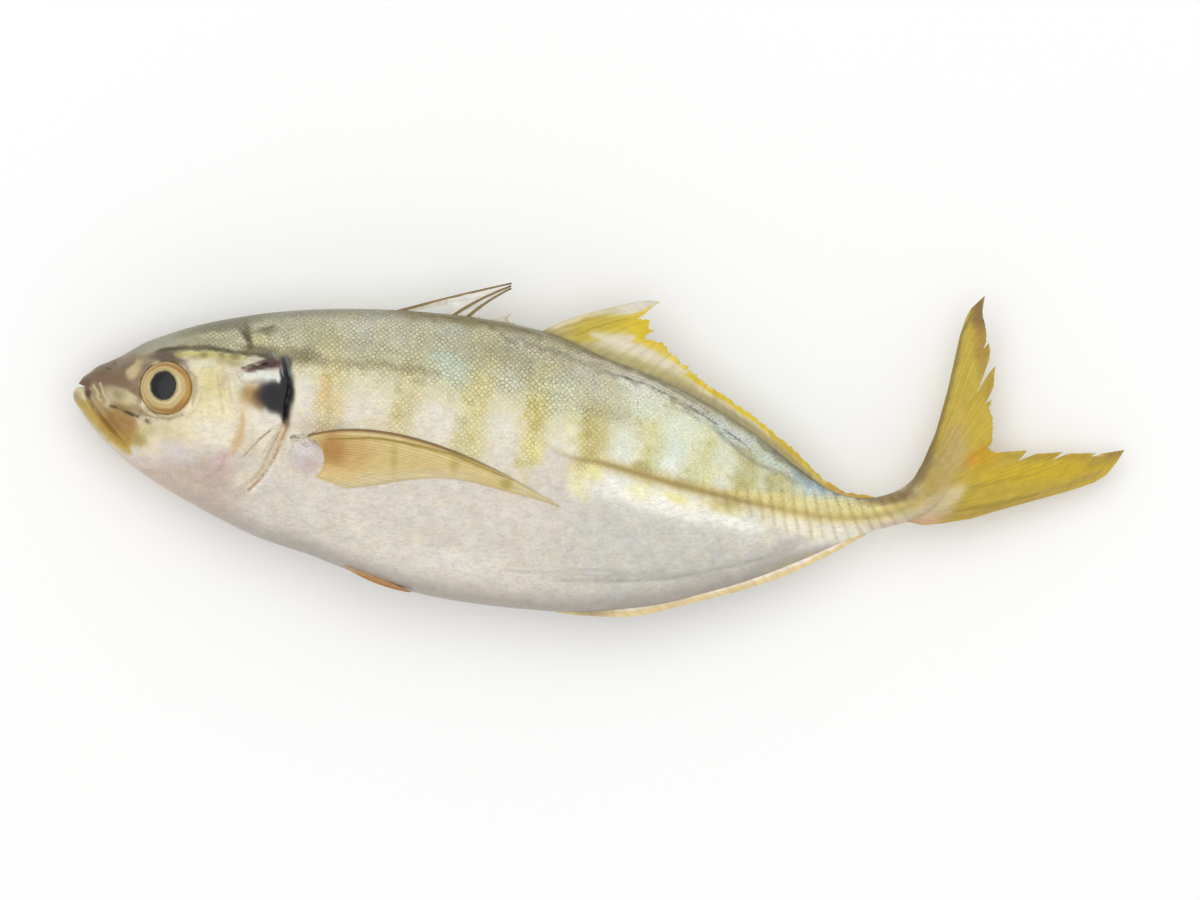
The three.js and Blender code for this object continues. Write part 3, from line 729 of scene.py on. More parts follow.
@dataclass(frozen=True)
class FinFinish:
    """Fin skin between bony rays: a thin wet membrane with a dark seam beside each ray and streaks along it.

    The eye gets fine dark lines a ray apart, which fade across a folded fin, over cloudy mottling.
    """

    name: str = "fish_fin_membrane"
    seam_colour: str = "#7c6837"
    seam_share: float = 0.28
    seam_fade: Point | None = None
    streak_share: float = 0.12
    mottle_share: float = 0.12
    roughness: float = 0.45
    film: float = 0.1
    ior: float = 1.34

    def build(self) -> bpy.types.Material:
        """Links the nodes. The UV map counts rays across the fin and millimetres along them.

        Returns:
            The fin's material.
        """
        material, node = new_material(self.name)
        place = node("UVMap", uv_map="mm")
        streaks, mottling = (
            node("TexNoise", {"Vector": stretched, "Scale": 1.0, "Detail": detail, "Roughness": rough})
            for stretched, detail, rough in (
                (node("Mapping", {"Vector": place, "Scale": (1.3, 0.12, 1.0)}), 4.0, 0.65),
                (node("Mapping", {"Vector": place, "Scale": (0.3, 0.3, 1.0)}), 5.0, 0.7),
            )
        )
        colour = node("Attribute", attribute_name="paint")
        for noise, depth in ((streaks, self.streak_share), (mottling, self.mottle_share)):
            tone = node("MapRange", (noise, 0.3, 0.7, 1.0 - depth, 1.0 + depth))
            colour = node("VectorMath", {0: colour, "Scale": tone}, **SCALE)
        ray = node("SeparateXYZ", [place])
        beside = node("Math", (ray, 0.5), operation="PINGPONG")
        seam = node("Math", (node("MapRange", (beside, 0.0, 0.2, self.seam_share, 0.0)), streaks), **TIMES)
        if self.seam_fade is not None:
            seam = node("Math", (seam, node("MapRange", (ray, *self.seam_fade, 1.0, 0.15))), **TIMES)
        colour = node("Mix", {0: seam, 6: colour, 7: socket_colour(self.seam_colour)}, 2, **BLEND)
        membrane = {
            "Base Color": colour,
            "Roughness": self.roughness,
            "IOR": self.ior,
            "Coat Weight": self.film,
            "Coat Roughness": 0.3,
            "Normal": node("Bump", {"Strength": 0.4, "Distance": 0.00015, "Height": streaks}),
        }
        node("OutputMaterial", {"Surface": node("BsdfPrincipled", membrane)})
        return material


@dataclass(frozen=True)
class EyeFinish:
    """A fresh fish's eye: a gold iris with fine rings, behind a wet clear cornea that gives the gloss."""

    name: str = "wet_fish_eye"
    roughness: float = 0.3
    cornea: float = 0.35

    def build(self) -> bpy.types.Material:
        """Links the nodes. The UV map holds millimetres from the eye's middle and degrees round it.

        Returns:
            The eye's material.
        """
        material, node = new_material(self.name)
        ringed = node("Mapping", {"Vector": node("UVMap", uv_map="mm"), "Scale": (3.0, 0.01, 1.0)})
        rings = node("TexNoise", {"Vector": ringed, "Scale": 1.0, "Detail": 4.0, "Roughness": 0.6})
        tone = node("MapRange", (rings, 0.3, 0.7, 0.93, 1.06))
        colour = node("Attribute", attribute_name="paint")
        eyeball = {
            "Base Color": node("VectorMath", {0: colour, "Scale": tone}, **SCALE),
            "Roughness": self.roughness,
            "IOR": 1.33,
            "Coat Weight": self.cornea,
            "Coat Roughness": 0.06,
            "Coat IOR": 1.33,
            "Normal": node("Bump", {"Strength": 0.15, "Distance": 0.0001, "Height": rings}),
        }
        node("OutputMaterial", {"Surface": node("BsdfPrincipled", eyeball)})
        return material


@dataclass(frozen=True)
class TableFinish:
    """A plain pale table top: matt white laminate, whose faint mottling some 160 mm wide hardly shows."""

    name: str = "white_laminate_table"

    def build(self) -> bpy.types.Material:
        """Links the nodes.

        Returns:
            The table's material.
        """
        material, node = new_material(self.name)
        mottling = node("TexNoise", {"Vector": node("TexCoord", (), "Object"), "Scale": 6.0, "Detail": 3.0})
        whites = {0: mottling, 6: socket_colour("#fbfbfa"), 7: socket_colour("#fdfdfd")}
        laminate = {"Base Color": node("Mix", whites, 2, **BLEND), "Roughness": 0.9}
        node("OutputMaterial", {"Surface": node("BsdfPrincipled", laminate)})
        return material


@dataclass(frozen=True)
class Finishes:
    """The object's finishes, built once."""

    skin: bpy.types.Material
    fin: bpy.types.Material
    folded_fin: bpy.types.Material
    eye: bpy.types.Material


def carry(piece: bpy.types.Object) -> bpy.types.Object:
    """Lets a piece ride on the part and stand for its solid.

    Args:
        piece: The piece.

    Returns:
        The same piece.
    """
    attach(piece, CARRIER)
    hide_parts(NODE)
    log.info("%s: %d faces", piece.name, len(piece.data.polygons))
    return piece


# The body


@dataclass(frozen=True)
class Swelling:
    """A low bulge of each flank, or a hollow where its height is below 0: height * exp(-d^2)."""

    height: float
    centre: Point
    radii: Point

    def rise(self, x: Array, y: Array) -> Array:
        """How far it stands out at each point."""
        dx, dy = (x - self.centre[0]) / self.radii[0], (y - self.centre[1]) / self.radii[1]
        return self.height * np.exp(-(dx**2) - dy**2)


@dataclass(frozen=True)
class Groove:
    """A V-shaped groove along a line. A lean of 1 sets its floor under its right edge, as beside a flap."""

    line: Line
    half_width: float
    depth: float
    lean: float = 0.0
    lip: float = 0.0

    def rise(self, x: Array, y: Array) -> Array:
        """How far the skin stands out in the groove and on its lip.

        Args:
            x: The points' x in side view.
            y: Their y.

        Returns:
            Millimetres below 0 in the groove, and above 0 on the lip at its right.
        """
        near = near_line(self.line, x, y, reach=5.0)
        floor = -self.lean * self.half_width
        wall = np.where(
            near.distance > floor,
            (self.half_width - near.distance) / (self.half_width - floor),
            (near.distance + self.half_width) / (floor + self.half_width),
        )
        fade = 0.25 + 0.75 * np.sin(np.pi * np.clip(near.share, 0.0, 1.0)) ** 0.6
        flap = smooth(-near.distance, 0.6 * self.half_width, self.half_width)
        flap *= np.exp(-np.maximum(-near.distance - self.half_width, 0.0) / 2.2) * (near.distance > -20)
        return fade * (self.lip * flap - self.depth * np.clip(wall, 0.0, 1.0))


MOUTH_CLEFT: Line = ((-122.6, 14.9), (-120.4, 10.8), (-118.5, 8.2), (-116.2, 5.3), (-112.6, 1.3))
GILL_EDGE: Line = (
    (-80.1, 23.1), (-75.8, 23.4), (-73.7, 20.8), (-72.6, 15.3), (-73.5, 10.6), (-73.9, 6), (-75.6, 2.7),
    (-77.7, -2), (-79.7, -5.8), (-82.5, -8.7), (-85.9, -10.5), (-90.2, -11.8),
)
PREOPERCLE: Line = (
    (-87.2, 15.3), (-85.3, 11.7), (-85, 7), (-85.6, 2.3), (-87, -0.6), (-89.6, -4.9), (-93.6, -7.7),
    (-99.6, -8.9),
)
ANAL_FOLD: Line = ((-12.3, -30.8), (-2.9, -31.1), (11.1, -31), (21.1, -29.7), (31.1, -27.7), (43, -24.6))

SWELLINGS = (
    Swelling(0.9, (-69.2, -1.3), (3.6, 4.6)),
    Swelling(0.6, (-80, 8), (6, 14)),
    Swelling(0.5, (-93, 1), (9, 8)),
    Swelling(-0.5, (-64, 10), (9, 16)),
    # Cheekbone, upper jaw's plate and its rounded end, and the hollow under the nose
    Swelling(0.3, (-114.2, 12.7), (3.4, 2.2)),
    Swelling(0.35, (-113.4, 5.2), (1.6, 2.6)),
    Swelling(0.25, (-108.9, 19.2), (1.3, 2.6)),
    Swelling(-0.35, (-115.4, 15.8), (3, 1.1)),
    # The two nostrils
    Swelling(-0.5, (-116.6, 19.1), (0.35, 0.3)),
    Swelling(-0.5, (-115.2, 20.5), (0.5, 0.3)),
)
GROOVES = (
    Groove(MOUTH_CLEFT, 0.7, 1.5, lip=0.15),
    Groove(((-119, 13), (-117.3, 9.6), (-113.5, 6.9), (-108, 4.3)), 0.7, 0.5, lean=0.3),
    Groove(GILL_EDGE, 1.2, 1.1, lean=0.75, lip=0.35),
    Groove(((-84.6, 19), (-80.6, 20), (-76.9, 20.6)), 0.6, 1.2),
    Groove(PREOPERCLE, 0.9, 0.45, lean=0.7, lip=0.15),
    Groove(((-75.4, 6), (-79.2, 3.2), (-84.1, -1.3)), 0.5, 0.4, lip=0.12),
    Groove(ANAL_FOLD, 0.7, 0.5),
    # The upper jaw's plate against the cheek, the seam of the crown, and the nape's two creases
    Groove(((-115.9, 10.3), (-113.8, 9.4), (-110.5, 8.4), (-107.4, 6.8)), 0.4, 0.35, lean=0.5, lip=0.1),
    Groove(((-112.2, 1.2), (-110.8, 3.2), (-110.4, 6.2)), 0.5, 0.3),
    Groove(((-103.8, 23.7), (-97.2, 23.5), (-90.1, 23.2), (-84.1, 22.8), (-78.2, 22.1)), 0.5, 0.3),
    Groove(((-85.8, 29.3), (-83.9, 26.9), (-82.5, 24.1)), 0.4, 0.3),
    Groove(((-83.9, 26.9), (-80.1, 28.3), (-77, 29.1)), 0.3, 0.15),
    # The fold in which the first dorsal fin lies, and the muscle line beneath the second
    Groove(((-48.6, 32.6), (-37.9, 31.1), (-28.4, 29.8), (-20.3, 28.4)), 0.6, 0.35),
    Groove(((1.5, 19.1), (9.5, 16.5), (14.1, 14.6), (21.4, 10.8), (30.9, 4.2), (38, -1.3)), 0.4, 0.15),
)

# The colours of the head and the gill opening, from the snout backwards
HEAD_MARKS = (
    # A bare olive-brown snout, darker at its tip and its upper edge, and the sage crown and nape behind it
    Patch("#7a654c", (-114.4, 17.8), (8.4, 4.8), 38, 0.97, 2.5),
    Patch("#6d5840", (-118.2, 18.9), (4.4, 1.8), 38, 0.85, 2),
    Patch("#6a5743", (-121, 17), (1.8, 1.4), 30, 0.8, 2),
    Patch("#85795f", (-112.4, 22.2), (6, 1.7), 32, 0.9, 2),
    Patch("#776753", (-116.4, 20.4), (4, 0.8), 36, 0.7),
    Patch("#7a664f", (-112, 18.4), (3, 0.7), 30, 0.5),
    Patch("#93927a", (-105, 26.4), (9.5, 2.7), 22, 0.95, 2.5),
    Patch("#a0a08a", (-99.6, 26.2), (6.5, 2.2), 16, 0.8, 2),
    Patch("#79755a", (-90, 29.6), (11, 1.7), 12, 0.75, 2),
    Patch("#b7b399", (-90.4, 25.8), (5.5, 1.7), 6, 0.75, 2),
    Patch("#8b8765", (-95, 25.4), (4.5, 1), 4, 0.5),
    # Mauve-brown stripe below the nose to the eye
    Streak("#7f6651", ((-120.6, 17.2), (-115.7, 15.9), (-111.9, 15), (-108.4, 12.8)), 1.3, 0.85, 2),
    Patch("#86705a", (-109.6, 14.8), (1.3, 2.6), 0, 0.7),
    # Pale bone in front of the eye
    Patch("#c8b489", (-110.2, 19), (1.45, 3.1), -40, 0.97, 3),
    Patch("#b29b6e", (-108.6, 20.4), (0.8, 1.6), -40, 0.6, 2),
    # Silver cheekbone with two gold creases in front of it
    Patch("#b9a983", (-113.6, 12.5), (4.9, 2.1), -30, 0.95, 3),
    Patch("#d2c59f", (-110.6, 11.6), (1.6, 1.4), -30, 0.8, 2),
    Patch("#948867", (-114.4, 13), (1.5, 0.9), -20, 0.6),
    Patch("#cdc19c", (-116, 12.4), (0.8, 1.6), 20, 0.6),
    Patch("#85714f", (-112.6, 9.9), (3.2, 0.55), -24, 0.7),
    Streak("#e0d49d", ((-120, 15.4), (-119.2, 13.2), (-117.6, 10.9)), 0.4, 0.9),
    Streak("#e0d49d", ((-118.4, 15.8), (-117.6, 13.2), (-116.3, 11)), 0.33, 0.8),
    # Upper jaw's plate: tan brown, with a broad band of painted shade along the cleft
    Patch("#a07b42", (-113.4, 6.2), (3.4, 5.2), 34, 0.95, 2.5),
    Patch("#8c652d", (-116.6, 7.8), (1.2, 5.6), 36, 0.6, 2),
    Patch("#a3804f", (-111, 5.6), (1.6, 2.4), 20, 0.6, 2),
    Patch("#b48a34", (-112.4, 2.4), (1.5, 2.2), 30, 0.8, 2),
    Patch("#947650", (-108.9, 9), (2.6, 0.9), -28, 0.7),
    Patch("#aa9a55", (-109.2, 2.6), (1.9, 1.9), 0, 0.9, 2),
    Patch("#c0b07c", (-106.8, 4.6), (2.4, 1.6), -30, 0.7),
    # Lower jaw: a yellow lip, olive at its front, and pale grey beneath
    Streak("#bd9f45",
           ((-124, 12.6), (-122, 9.6), (-119, 6.2), (-115.5, 3), (-111.4, -0.6)), 1.7, 0.9, 1.5),
    Streak("#a87c2c", ((-121.4, 11.6), (-119, 7.8), (-116, 4.2), (-112.4, 0.9)), 0.9, 0.55),
    Patch("#a0944c", (-122.4, 11), (0.9, 1.4), 30, 0.7),
    Patch("#a58f6c", (-124.2, 12.9), (1.3, 1.3), 0, 0.8, 2),
    Streak("#c6bdae", ((-123.9, 9.2), (-120.6, 4.8), (-117.2, 1), (-112, -3.4)), 1.3, 0.8, 2),
    # Lips and the inside of the mouth
    Patch("#6d4e3c", (-121.7, 15.4), (1.1, 1.1), 0, 0.9, 2),
    Patch("#4a3026", (-121.3, 13.4), (0.7, 1.3), 25, 0.85),
    Patch("#6a543d", (-122.8, 16.4), (1.8, 1.6), 30, 0.95, 2),
    Patch("#4b3f35", (-116.6, 19.1), (0.5, 0.35), 0, 0.8),
    Patch("#4b3f35", (-115.2, 20.5), (0.6, 0.35), 0, 0.7),
    # Skin round the eye: dark above, grey-brown in front, pale behind
    Patch("#5d5140", (-103.4, 22.4), (4.4, 1.5), 6, 0.9, 2),
    Patch("#5f4e40", (-101.4, 21.4), (3.8, 1), -10, 0.85, 2),
    Patch("#6b5a48", (-107, 20), (1.5, 1.1), 50, 0.6),
    Streak("#857158", ((-108.9, 11), (-109.5, 15), (-107.9, 19), (-104.6, 21.4)), 0.8, 0.75),
    Streak("#96867a", ((-99.4, 20.9), (-96.7, 18.2), (-95.6, 14.6), (-96.4, 10.8)), 0.7, 0.75),
    Streak("#94805f", ((-107.8, 10), (-104.8, 8), (-101.6, 7.4), (-98.4, 8.6)), 0.5, 0.7),
    Patch("#dcc9a8", (-105.4, 6.2), (2.8, 1), -22, 0.7),
    # A dark olive band over a yellow-green one, from the eye to the gill opening
    Streak("#595337",
           ((-105, 23.2), (-98.4, 24.1), (-91.6, 23.8), (-84.1, 22.8), (-78.4, 22.2)), 0.75, 0.75, 2),
    Streak("#bbb158",
           ((-100.4, 22.6), (-96.2, 22.6), (-92, 22.3), (-86.5, 21.8), (-83.4, 21.4)), 0.7, 0.75),
    Patch("#7b7241", (-93.8, 22.4), (1, 0.7), 0, 0.6),
    Patch("#776d3e", (-89.6, 22), (0.9, 0.8), 0, 0.6),
    Patch("#6b6340", (-86.2, 21.9), (1.4, 0.7), -8, 0.6),
    Patch("#8e8150", (-96, 21.6), (2.2, 0.6), -6, 0.5),
    # Cheek: white behind the eye, then yellow, cream, grey mauve and a pink blush low down
    Patch("#e0dcc6", (-93.6, 20.4), (3.4, 1), 0, 0.9, 2),
    Patch("#a89b68", (-87.6, 20.6), (3.8, 0.9), -8, 0.75),
    Patch("#e2d294", (-91.8, 15), (4, 4.4), 0, 0.85),
    Patch("#ddd7bc", (-86.2, 16.2), (1.4, 1.9), 0, 0.8, 2),
    Patch("#c4b797", (-89, 16.4), (0.8, 3.4), 0, 0.6),
    Patch("#eee2b6", (-91.6, 9.8), (4.6, 3.8), 0, 0.8),
    Patch("#efe8d6", (-91, 4.2), (5.2, 3.4), 0, 0.85),
    Patch("#d3c494", (-102.4, 4.2), (3.6, 2), -26, 0.55),
    Patch("#d6cdc8", (-100.6, -0.4), (5.2, 3.2), -26, 0.8),
    Patch("#ddd2c8", (-94, 0.2), (3.6, 2.2), 0, 0.6),
    Patch("#cbb3a6", (-91.6, -5.4), (4.8, 3.2), -10, 0.85, 2),
    Patch("#d8bab2", (-89.4, -2), (2.2, 2), 0, 0.8),
    Patch("#e6dac2", (-84.6, -7.4), (3.2, 2.4), 30, 0.6),
    Patch("#cbbaa8", (-98.4, -6.4), (5.6, 2.6), -28, 0.7),
    # Orange rim of the front gill plate and the plates of the gill cover
    Patch("#f0e7d2", (-80.2, 5.4), (3.6, 4.8), 40, 0.85),
    Patch("#d9c9aa", (-83.2, 1.2), (2.6, 3.2), 30, 0.5),
    Patch("#e2d2b4", (-79, 1), (1.7, 3.8), -38, 0.6),
    Streak("#dcc294", ((-85.6, 14), (-84.4, 11), (-84.2, 7.4)), 0.9, 0.6),
    Streak("#d0a468", ((-84.2, 8.6), (-84.4, 5.6), (-85.6, 2), (-86.9, -1)), 1.1, 0.6),
    Streak("#dcc29a", ((-73.2, 9.6), (-74.6, 4.2), (-78, -2.8), (-82.6, -8.2)), 1.1, 0.65),
    Streak("#f2ecdf", ((-75.4, 0.6), (-78.4, -5.2), (-82.9, -10)), 0.9, 0.7),
    # Nape: a yellow patch beside a dark forked crease
    Patch("#d6cd9f", (-80.7, 26), (2, 1.5), 0, 0.85, 2),
    Patch("#676042", (-83.3, 27), (1, 3.8), 16, 0.85),
    Patch("#77704f", (-78.6, 28), (2.8, 0.9), 14, 0.6),
    Patch("#716b4a", (-79.4, 23.5), (5.5, 1.2), -6, 0.8),
    Patch("#857a59", (-70.6, 22.2), (4.6, 1.9), -4, 0.75),
    # The black spot behind the gill cover: a tall band, a lobe before it, and a gold-brown end
    Patch("#a98b4f", (-82.2, 13), (2.6, 2.6), 0, 0.95, 2),
    Patch("#7d5d3c", (-80.2, 11.8), (2, 2.3), 0, 0.85, 2),
    Patch("#241d20", (-78.4, 13.2), (2.8, 2.7), 0, 0.95, 2),
    Patch("#131217", (-76.6, 12.8), (2.8, 3.6), 0, 0.98, 2),
    Patch("#151318", (-76.4, 10.7), (3.8, 2), -38, 0.96, 2.5),
    Patch("#131217", (-74, 15.4), (1.75, 6), 4, 0.98, 3),
    Patch("#19171a", (-74.4, 9), (1.2, 3.2), 10, 0.97, 2),
    Patch("#5a5347", (-77.4, 21.8), (3, 1.2), -20, 0.75, 2),
    Patch("#343132", (-74.4, 20.2), (1.6, 1.9), 0, 0.9, 2),
    Streak("#9aa2a6", ((-77.4, 23.2), (-76, 21.2), (-75, 19), (-74.8, 17.2)), 0.35, 0.85),
    Streak("#7d848c", ((-74.8, 22.2), (-73.6, 20.2), (-72.9, 17.4)), 0.3, 0.75),
    # The gap over the gill cover: a dark red wedge, and a rounded white strip of bare skin under it
    Patch("#553c35", (-79.8, 19.7), (4.4, 0.95), 10, 0.97, 3),
    Patch("#4f3731", (-77.8, 20.2), (2.7, 1.5), 8, 0.95, 3),
    Streak("#e0e1d8",
           ((-84.4, 17.9), (-81, 17.5), (-78, 17.7), (-76.3, 17.2), (-75.9, 16.3)), 1.15, 0.98, 3),
    Patch("#99917f", (-80.4, 15.9), (3.4, 0.45), 0, 0.6, 2),
    # Fleshy root of the pectoral fin
    Patch("#cbbfba", (-69.2, -1.9), (4, 4.3), 0, 0.95, 3),
    Patch("#e0dbd7", (-70, 0), (2.3, 1.9), 0, 0.8),
    Patch("#cdb4b4", (-68.6, -3.8), (2.6, 1.8), 0, 0.6),
    Patch("#7f766c", (-66.4, 1.8), (1.7, 0.9), -28, 0.6),
)

# The colours of the flanks: patches of yellow, mint and white, and soft lines along the back
FLANK_MARKS = (
    Patch("#e2bd7a", (-64.9, 13.6), (1.9, 3.6), 0, 0.7),
    Patch("#dcc08a", (-62.8, 9.6), (2.4, 2.6), 0, 0.5),
    Patch("#ece4d6", (-70, 12), (2.6, 5), 0, 0.7),
    Patch("#d2c5b8", (-69, 5.6), (3.6, 2.6), 0, 0.65),
    Patch("#b3a184", (-64, 5.4), (5, 1), 6, 0.5),
    Patch("#ebe0cf", (-55.6, 9.4), (3, 2.8), 0, 0.6),
    Patch("#e2cfa4", (-52.6, 5.6), (4, 2), -8, 0.5),
    Patch("#e4e2d8", (-38.6, 8), (2.8, 4.4), 0, 0.55),
    Patch("#e9e6d6", (-22.8, 4.6), (2.3, 5), 0, 0.5),
    Patch("#d3d3c6", (-57, 28.4), (5.5, 2.6), 0, 0.6),
    Patch("#b9b57f", (-66.6, 26.4), (3.4, 3), 0, 0.35),
    Patch("#d3d1bd", (-47, 24.6), (3.6, 3.4), -30, 0.45),
    Patch("#cddccb", (-35.4, 19.6), (4.6, 3.4), -25, 0.75),
    Patch("#d9ddd2", (-21, 16.6), (3.6, 1.8), -24, 0.55),
    Patch("#d6cebb", (-14, 22.8), (7.5, 1.4), -24, 0.65),
    Patch("#dcdfca", (-8.6, 13.6), (5, 4), -24, 0.6),
    Patch("#e9e6ab", (-6.8, 7.6), (1.6, 4.2), 0, 0.55),
    # Pale mint and white fields of the rear flank, between yellow ones: the skin's own pale tones, with
    # painted sheen in their bluish-mint tint
    Patch("#eff3e6", (8.4, 15.8), (7.4, 2), -25, 0.9, 2),
    Patch("#e3ead6", (12, 9.8), (7, 3), -24, 0.75),
    Patch("#e6edd6", (20, 5), (6, 3.6), -24, 0.8),
    Patch("#e0ebe2", (17.6, -0.8), (2.6, 3.4), -10, 0.85),
    Patch("#f3f4ea", (16.4, -3.4), (1.8, 1.6), -10, 0.7),
    Patch("#eceee0", (5.8, -0.6), (2.4, 4.4), 0, 0.7),
    Patch("#eeebb2", (12.4, 3.4), (1.5, 2.6), 0, 0.65),
    Patch("#d9e8e2", (28.2, 5.2), (5.6, 2), -36, 0.85),
    Patch("#e6ebd2", (31, -3.6), (3.4, 3.2), -24, 0.75),
    Patch("#ebe7a9", (26.6, -5.6), (1.3, 3.4), 0, 0.5),
    Patch("#cbd0a6", (40, -8), (3.6, 1.9), -30, 0.6),
    Patch("#c6d6d6", (49.6, -9.2), (5.2, 1.5), -28, 0.7),
    # Blue sheen along the second dorsal fin's base
    Streak("#cfe0de", ((22, 10.6), (28.4, 6.2), (38, -1), (47.6, -6.8), (56.6, -10.8)), 1.3, 0.65, 1.5),
    Streak("#94afc2", ((45, -5.2), (50.6, -8.2), (57.6, -11)), 0.7, 0.65),
    # Dark lines along the back beneath the fins
    Streak("#8d8053", ((-50.5, 32.9), (-37.9, 31.2), (-28.4, 30), (-20.3, 28.6), (-14.2, 26.9)), 1.1, 0.8),
    Streak("#8b8775", ((-24, 27.4), (-9.4, 22.6), (1.5, 18.6), (12, 14.6), (24, 8.4)), 0.8, 0.65),
    Streak("#d2cabb", ((-6, 23), (4, 19.4), (14, 15.2), (24, 9.6), (36, 0.8)), 0.9, 0.8),
    Streak("#96937f", ((26, 5), (34.9, -1.4), (41.6, -5.3), (48, -8)), 1, 0.45),
    Streak("#848678", ((36.5, 2.8), (47.5, -5.4), (57.4, -10.4), (64.5, -11.9)), 0.7, 0.6),
    # Dark band that follows the front of the lateral line, and cloudy dark places on the back
    Streak("#9c9370", ((-72, 21.6), (-61, 20.6), (-49, 19.6), (-38, 17.6)), 1.3, 0.6),
    Patch("#a9a283", (-24, 22.4), (6, 2.6), -20, 0.4),
    Patch("#a39d86", (-8.4, 20.6), (5, 1.3), -24, 0.45),
    Patch("#b2ad8f", (-0.6, 9.6), (3.4, 2), -10, 0.45),
    Patch("#d2cfbb", (-2.4, 17.6), (5.4, 2.4), -22, 0.85),
    Patch("#d4d2bb", (0.4, 13.2), (3.6, 2), -16, 0.8),
    Patch("#e6e7d6", (13.2, 12.6), (3.8, 2.4), -24, 0.85),
    # A bluish-white patch of painted sheen near the second dorsal fin's base
    Patch("#d3dbd6", (34.6, 2.4), (2.8, 1.6), -36, 0.7),
    Patch("#c3c196", (34.8, -5), (3, 2), -24, 0.65),
    Patch("#b7b392", (4.4, 8), (3, 2), -20, 0.45),
    # Nearly white streak under the lateral line
    Streak("#fffdf2", ((3, -9.2), (13, -12.2), (24, -15.4), (34, -18.6)), 2.2, 0.8, 1.5),
    Patch("#d3ccbe", (43, -19.6), (4.4, 1.8), 12, 0.7),
    Patch("#f3f0b9", (9.6, -9.8), (3.2, 1.9), -14, 0.6),
    # Yellow and grey-yellow patches beside the lateral line
    Patch("#c9b873", (-0.9, 2.6), (3, 4.4), 0, 0.55),
    Patch("#f5f0ad", (-1.6, -5.4), (2.6, 2.4), 20, 0.95),
    Patch("#f3eebc", (-5.2, -8.6), (2, 5), 24, 0.75),
    Patch("#f0e9a4", (17.6, -11.6), (3.4, 1.4), -20, 0.9),
    Patch("#e6da93", (28.6, -13.6), (4.2, 1.4), -16, 0.85),
    Patch("#f1e7a6", (-15.6, 0.6), (2.4, 3.6), 10, 0.6),
    Patch("#dbd0a2", (-17.4, -6.6), (1.3, 3), 10, 0.6),
    # Olive stains where the bars end on the lateral line
    Patch("#a5995c", (9.5, -4.5), (2.2, 1.6), 0, 0.6),
    Patch("#a5995c", (19.8, -8.4), (2, 1.5), 0, 0.55),
    Patch("#a3954f", (30, -12.8), (2.2, 1.6), 0, 0.55),
    Patch("#a9a065", (33.3, -7.6), (1.6, 2.4), 0, 0.5),
    Patch("#aaa065", (40.4, -7.4), (1.5, 2), 0, 0.5),
    # The belly: a pale band low down in front, and greys behind
    Patch("#eae5da", (-33, -26.6), (14, 3.2), -8, 0.8),
    Patch("#e6dfd0", (-55, -20.6), (10, 4), -24, 0.7),
    Patch("#e8e1d4", (-66, -8.6), (7, 4.5), -10, 0.5),
    Patch("#d2cfc7", (8, -22), (13, 4.5), -4, 0.75),
    Patch("#b7b4ac", (12, -30), (17, 1.3), 2, 0.65, 2),
    Patch("#c3c0b8", (30, -27), (10, 1.4), 16, 0.7),
    Patch("#c2bab0", (45, -22.6), (7, 1.8), 22, 0.7),
    Patch("#d3cfc5", (-8, -24), (6, 3), 0, 0.6),
    Streak("#bdae85", ((38, -29.6), (47, -26.6), (54, -23.4)), 0.8, 0.6),
)

# The stalk of the tail: olive on top, gold on the side, pale and pink beneath
STALK_MARKS = (
    Patch("#d2bb72", (73, -13.2), (7.5, 1.4), 14, 0.9, 2),
    Patch("#846b3c", (69, -11.2), (7.4, 1.7), 6, 0.9, 2),
    Patch("#b79f58", (80, -6.4), (5.4, 6.4), -34, 0.97, 3),
    Patch("#85714a", (75.6, -6.4), (1.5, 6), -42, 0.9, 2),
    Patch("#d6c68f", (70.5, -15.2), (8, 1), 8, 0.8, 2),
    Patch("#ccb98d", (79.6, -12.2), (5, 1.4), 38, 0.85, 2),
    Patch("#d3bda3", (71.5, -17.4), (8, 1.1), 8, 0.85, 2),
    Patch("#cba893", (76, -16.2), (4.4, 0.9), 20, 0.6),
    Patch("#cbb67c", (83, -9.6), (2.6, 2), -40, 0.6, 2),
)


@dataclass(frozen=True)
class Bar:
    """One of the faint dusky bars of the flank."""

    middle: Point
    colour: str
    strength: float
    low_end: float


BARS = (
    Bar((-63.7, 12.9), "#d9c58a", 0.7, 2),
    Bar((-46.7, 8.8), "#d3c796", 0.8, -3),
    Bar((-30.1, 5.8), "#d4cb8f", 0.95, -3.5),
    Bar((-15.6, 4.2), "#dbcf8c", 1, -3.5),
    Bar((-0.9, 5.6), "#d6ca8d", 1, -6.5),
    Bar((12.6, 0.6), "#dbd8a2", 0.85, -8.5),
    Bar((23.8, -5), "#d9d79c", 0.8, -11.5),
    Bar((34.5, -9), "#ccc585", 0.85, -14.5),
    Bar((43, -10.6), "#c9bf7a", 0.7, -15.5),
)


@dataclass(frozen=True)
class Crease:
    """A fine dark line, drawn by the shader from each vertex's distance to it."""

    colour: str
    line: Line
    half_width: float
    strength: float = 0.8


